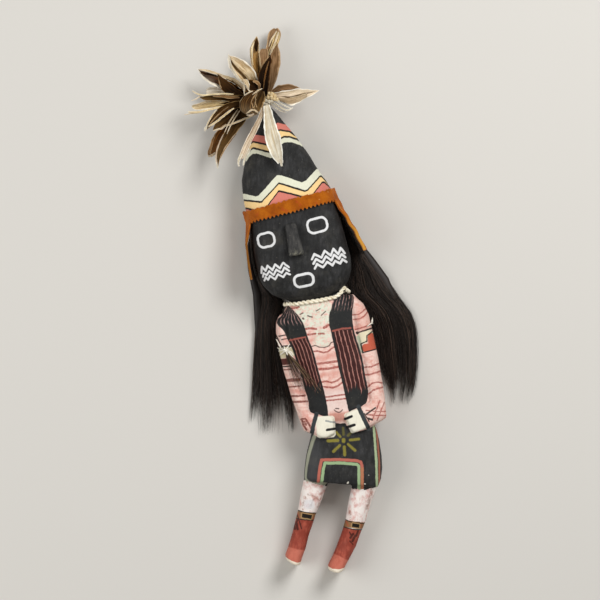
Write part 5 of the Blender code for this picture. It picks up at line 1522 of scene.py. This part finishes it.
def huskMaterial(name):
    *codes, brightnessInBindingShade, rimStart = huskTones[name]
    middle, edge, vein, crease = (tone(code) for code in codes)
    material, tree, shader, place = startMaterial(name + "Husk")

    def saved(attribute):
        node = tree.nodes.new("ShaderNodeAttribute")
        node.attribute_name = attribute
        return node.outputs["Fac"]

    uv = tree.nodes.new("ShaderNodeTexCoord").outputs["UV"]
    across, along, _ = parts(tree, uv)
    shift = grain(tree, place, 260.0, 3.0, 0.6)
    ragged = calc(tree, "ADD", saved("rim"), spread(tree, shift, 0.3, -0.15))
    rim = softStep(tree, ragged, rimStart, rimStart + 0.2)
    moved = vecCalc(tree, "ADD", stretched(tree, uv, (16, 1.3, 1)), scaled(tree, place, 90.0))
    streak = grain(tree, moved, 1.0, 4.0, 0.68)
    base = mixTones(tree, softStep(tree, streak, 0.4, 0.58), vein, middle)
    if name == "ridged":
        wave = calc(tree, "SINE", times(tree, across, 2 * huskWork["ribTurns"]))
        base = mixTones(tree, times(tree, softStep(tree, wave, 0.3, -0.6), 0.9), base, vein)
    shadow = softStep(tree, ragged, rimStart - 0.24, rimStart - 0.02)
    base = mixTones(tree, times(tree, shadow, 0.5), base, vein)
    tip = times(tree, softStep(tree, along, 0.5, 1.0), 0.2)
    base = mixTones(tree, tip, base, edge)
    colour = mixTones(tree, rim, base, edge)
    # The crease tone is painted shade in the fold of the leaf
    colour = mixTones(tree, softStep(tree, saved("crease"), 0.25, 0.7), colour, crease)
    spots = softStep(tree, grain(tree, place, 700.0, 3.0, 0.6), 0.62, 0.72)
    colour = mixTones(tree, times(tree, spots, 0.35), colour, vein)
    cloud = spread(tree, grain(tree, place, 130.0, 2.0), 0.9, 0.55)
    # Painted shade: darker towards the binding, where the leaves lie in each other's shade
    shade = spread(tree, softStep(tree, along, 0.1, 0.55), 1 - brightnessInBindingShade, brightnessInBindingShade)
    colour = mixTones(tree, 1.0, colour, times(tree, cloud, shade), "MULTIPLY")
    fibre = streaks(tree, moved, (3.4, 2.0, 3.0), 3.0, 0.6)
    colour = mixTones(tree, 1.0, colour, spread(tree, fibre, 0.7, 0.66), "MULTIPLY")
    feed(tree, shader.inputs["Base Color"], colour)
    feed(tree, shader.inputs["Roughness"], spread(tree, streak, 0.3, 0.6))
    shader.inputs["Specular IOR Level"].default_value = 0.06
    addBump(tree, shader, streak, 0.8, 0.4)
    return material


huskMaterials = {name: huskMaterial(name) for name in huskTones}


def evenPlaces(points, count):
    # A smooth line through the points, cut into equal steps; t runs from 0 to 1 between two points
    spots = [onGrid(*point) for point in points]
    padded = [spots[0], *spots, spots[-1]]
    dense = []
    for before, start, end, after in zip(padded, padded[1:], padded[2:], padded[3:]):
        for step in range(8):
            t = step / 8
            square, cube = 2 * before - 5 * start + 4 * end - after, 3 * start - before - 3 * end + after
            dense.append(0.5 * (2 * start + (end - before) * t + square * t * t + cube * t ** 3))
    dense.append(spots[-1])
    walked = [0.0]
    for start, end in zip(dense, dense[1:]):
        walked.append(walked[-1] + (end - start).length)
    wanted = np.linspace(0, walked[-1], count)
    lines = [np.interp(wanted, walked, [spot[axis] for spot in dense]) for axis in range(3)]
    return [Vector(place) for place in zip(*lines)]


def bendShell(number, part, shell):
    toneName, hollow, creasePlace, torn, firstRim, secondRim = shell
    rows = huskWork["rows" if len(firstRim) > 4 else "shortRows"]
    ridged = toneName == "ridged"
    columns = huskWork["ridgedColumns" if ridged else "columns" if abs(hollow) > 0.25 else "narrowColumns"]
    ribDepth = huskWork["ribDepth" if ridged else "fineDepth"]
    bpy.ops.object.select_all(action="DESELECT")
    bpy.ops.mesh.primitive_grid_add(x_subdivisions=columns, y_subdivisions=rows, size=2.0, calc_uvs=True)
    sheet = bpy.context.object
    sheet.name = sheet.data.name = f"huskLeaf{number:02d}part{part}"
    first, second = evenPlaces(firstRim, rows + 1), evenPlaces(secondRim, rows + 1)
    middles = [(a + b) / 2 for a, b in zip(first, second)]
    widest = max((a - b).length for a, b in zip(first, second))
    rim = sheet.data.attributes.new("rim", "FLOAT", "POINT").data
    crease = sheet.data.attributes.new("crease", "FLOAT", "POINT").data
    for index, vertex in enumerate(sheet.data.vertices):
        across, row = vertex.co.x, round((vertex.co.y + 1) / 2 * rows)
        a, b = first[row], second[row]
        forward = (middles[min(row + 1, rows)] - middles[max(row - 1, 0)]).normalized()
        side = b - a
        width = side.length
        outward = side.cross(forward)
        outward = outward.normalized() if outward.length > 1e-12 else Vector((0, 0, 1))
        outward = -outward if outward.z < 0 else outward
        share = row / rows
        # Broad and fine waves, ribs along the leaf, a wavy rim and the crease
        wild = noise.noise(Vector((share * 6, number * 3.1 + part, across * 0.8)))
        fine = noise.noise(Vector((share * 15, number * 1.7 + part, across * 1.4)))
        sink = -hollow * mm * (1 - abs(across) ** 2.4) * (width / widest) ** 0.8
        turn = (across + 1) * huskWork["ribTurns"] if ridged else across * 13 + number
        broad = min(width / (3 * mm), 1)
        ridges = (ribDepth * math.sin(turn) + 0.35 * wild + 0.14 * fine) * mm * broad
        rimWave = noise.noise(Vector((share * 4.5, number * 5.3, 9.0 * across)))
        ridges += 0.9 * mm * abs(across) ** 5 * rimWave * broad
        if creasePlace is not None:
            deep = math.exp(-((across - creasePlace[0]) / creasePlace[1]) ** 2)
            crease[index].value = deep * ramp(share, 0.12, 0.3) * ramp(1 - share, 0.04, 0.12)
            sink -= 0.9 * mm * crease[index].value
        place = a.copy()
        if width > 1e-9:
            place = a + side * (across + 1) / 2
            place += side.normalized() * 0.5 * mm * broad * (fine + 0.6 * wild) * abs(across)
        if share > huskWork["tearFrom"]:
            reach = torn * (share - huskWork["tearFrom"]) / (1 - huskWork["tearFrom"])
            tear = noise.noise(Vector((across * 4.5, number * 2.3, part)))
            place += forward * huskWork["tear"] * mm * reach * tear
        rim[index].value = max(abs(across), ramp(share, 0.9, 1.0) * 0.8)
        vertex.co = place + outward * (sink + ridges)
    solid = sheet.modifiers.new("sheet", "SOLIDIFY")
    solid.thickness = huskWork["thickness"] * mm
    solid.offset = 0.0
    soft = sheet.modifiers.new("soft", "SUBSURF")
    soft.levels = soft.render_levels = 1
    applyModifiers(sheet)
    faceOutwards(sheet)
    sheet.data.shade_smooth()
    sheet.data.materials.append(huskMaterials[toneName])
    return sheet


def bendLeaf(number, shells):
    first, *others = [bendShell(number, part, shell) for part, shell in enumerate(shells)]
    if others:
        joinInto(first, *others)
    first.name = first.data.name = f"huskLeaf{number:02d}"
    handIn(first, "dry_husk", f"husk_leaf_{number:02d}")


for leafNumber, leafShells in enumerate(leaves, start=1):
    bendLeaf(leafNumber, leafShells)

# In mm; lumps are places on the grid with the height and radius of each lump
bindingWork = {"centre": (-4.4, 168.25, 18.2), "halfWidth": 3.0, "halfLength": 4.4, "wraps": 5,
               "turnSteps": 18, "radius": 3.3, "thread": 0.55, "tones": ("#c3b897", "#f1ead6"),
               "lumps": [(269, 94, 22, 1.2), (272, 94.6, 22.4, 1.35), (274.8, 96.6, 22.4, 1.15),
                         (271.2, 97.6, 23, 1.3), (274.2, 99.6, 22.8, 1.15), (277, 99.8, 22.4, 1.1),
                         (278.6, 101.6, 22, 0.8), (268.2, 98, 22.8, 1.25), (266.6, 95.6, 22, 0.95),
                         (266, 101, 22.6, 1.2), (268.8, 102, 23, 1.25), (263.8, 103.6, 22.4, 1.0),
                         (271.6, 101.6, 22.8, 1.0), (266.6, 104.8, 22.8, 1.1), (269, 105.4, 22, 0.8)]}


def bindPlume():
    # A lumpy core of leaf stalks with a white thread wound round it
    centre = Vector(bindingWork["centre"])
    halfWidth, halfLength = bindingWork["halfWidth"], bindingWork["halfLength"]
    bpy.ops.mesh.primitive_uv_sphere_add(segments=32, ring_count=20, radius=1.0)
    core = bpy.context.object
    core.name = core.data.name = "huskBinding"
    for vertex in core.data.vertices:
        x, y, z = vertex.co
        ridge = 1 + 0.1 * math.sin(9 * math.atan2(y, x))
        vertex.co = (centre + Vector((x * halfWidth * ridge, z * halfLength, y * halfWidth * ridge))) * mm
    core.data.shade_smooth()
    core.data.materials.append(huskMaterials["cream"])
    route, steps = [], bindingWork["wraps"] * bindingWork["turnSteps"]
    for step in range(steps):
        angle = 2 * math.pi * step / bindingWork["turnSteps"]
        along = -3.0 + 3.4 * step / steps + 0.3 * math.sin(step)
        radius = bindingWork["radius"] * (1 - 0.012 * along * along)
        spot = centre + Vector((radius * math.cos(angle), along, radius * math.sin(angle)))
        route.append((spot * mm, bindingWork["thread"]))
    thread = tubesAsMesh("bindingThread", [route], 1)
    thread.data.materials.append(threadMaterial("bindingWhite", *bindingWork["tones"]))
    lumps = []
    for u, v, height, radius in bindingWork["lumps"]:
        bpy.ops.mesh.primitive_uv_sphere_add(segments=18, ring_count=12, radius=1.0)
        lump = bpy.context.object
        for vertex in lump.data.vertices:
            swell = radius * (1 + 0.35 * noise.noise(vertex.co * 1.6 + Vector((u, v, 0))))
            vertex.co = onGrid(u, v, height) + vertex.co * swell * mm
        lump.data.shade_smooth()
        lump.data.materials.append(huskMaterials["straw" if v < 100 else "white"])
        lumps.append(lump)
    faceOutwards(core)
    joinInto(core, thread, *lumps)
    handIn(core, "dry_husk", "husk_tie")


bindPlume()


# lamps: name, then right and down on the grid and height above the floor in metres, size, power
studio = {"floorTone": "#cfccc6", "floorSize": 6.0, "worldTone": "#e6e4e0", "worldStrength": 0.42,
          "distance": 4.0, "planeHeight": 15.0, "middle": (300, 300), "squaresAcross": 600, "sensor": 36.0,
          "lamps": (("keyLamp", 0.55, -0.6, 1.05, 0.6, 12.5), ("fillLamp", -0.9, 0.1, 0.9, 1.0, 7.0))}


def setStudio():
    bpy.ops.object.select_all(action="DESELECT")
    bpy.ops.mesh.primitive_plane_add(size=studio["floorSize"], location=(0, 0, 0))
    floor = bpy.context.object
    floor.name = "studioFloor"
    material, tree, shader, place = startMaterial("paleFloor")
    shader.inputs["Base Color"].default_value = tone(studio["floorTone"])
    shader.inputs["Roughness"].default_value = 0.9
    floor.data.materials.append(material)
    world = bpy.data.worlds.new("softRoom")
    world.use_nodes = True
    background = world.node_tree.nodes["Background"]
    background.inputs["Color"].default_value = tone(studio["worldTone"])
    background.inputs["Strength"].default_value = studio["worldStrength"]
    bpy.context.scene.world = world
    middle = onGrid(*studio["middle"])
    for name, right, down, height, size, power in studio["lamps"]:
        lamp = bpy.data.lights.new(name, "AREA")
        lamp.shape = "DISK"
        lamp.size = size
        lamp.energy = power
        thing = bpy.data.objects.new(name, lamp)
        spot = middle + onGrid(drawing["zeroU"] + right / drawing["square"],
                               drawing["zeroV"] + down / drawing["square"], height / mm)
        thing.location = spot
        thing.rotation_euler = (middle - spot).to_track_quat("-Z", "Y").to_euler()
        bpy.context.scene.collection.objects.link(thing)
    camera = bpy.data.cameras.new("camera")
    camera.sensor_width = studio["sensor"]
    camera.lens = studio["sensor"] * studio["distance"] / (studio["squaresAcross"] * drawing["square"])
    camera.clip_end = 20.0
    thing = bpy.data.objects.new("camera", camera)
    thing.location = middle + Vector((0, 0, studio["distance"] + studio["planeHeight"] * mm))
    thing.rotation_euler = (0, 0, -drawing["turn"])
    bpy.context.scene.collection.objects.link(thing)
    bpy.context.scene.camera = thing
    bpy.context.scene.view_settings.view_transform = "Standard"
    print("studio: floor, world,", len(studio["lamps"]), "lamps and camera")


setStudio()

bpy.context.view_layer.update()
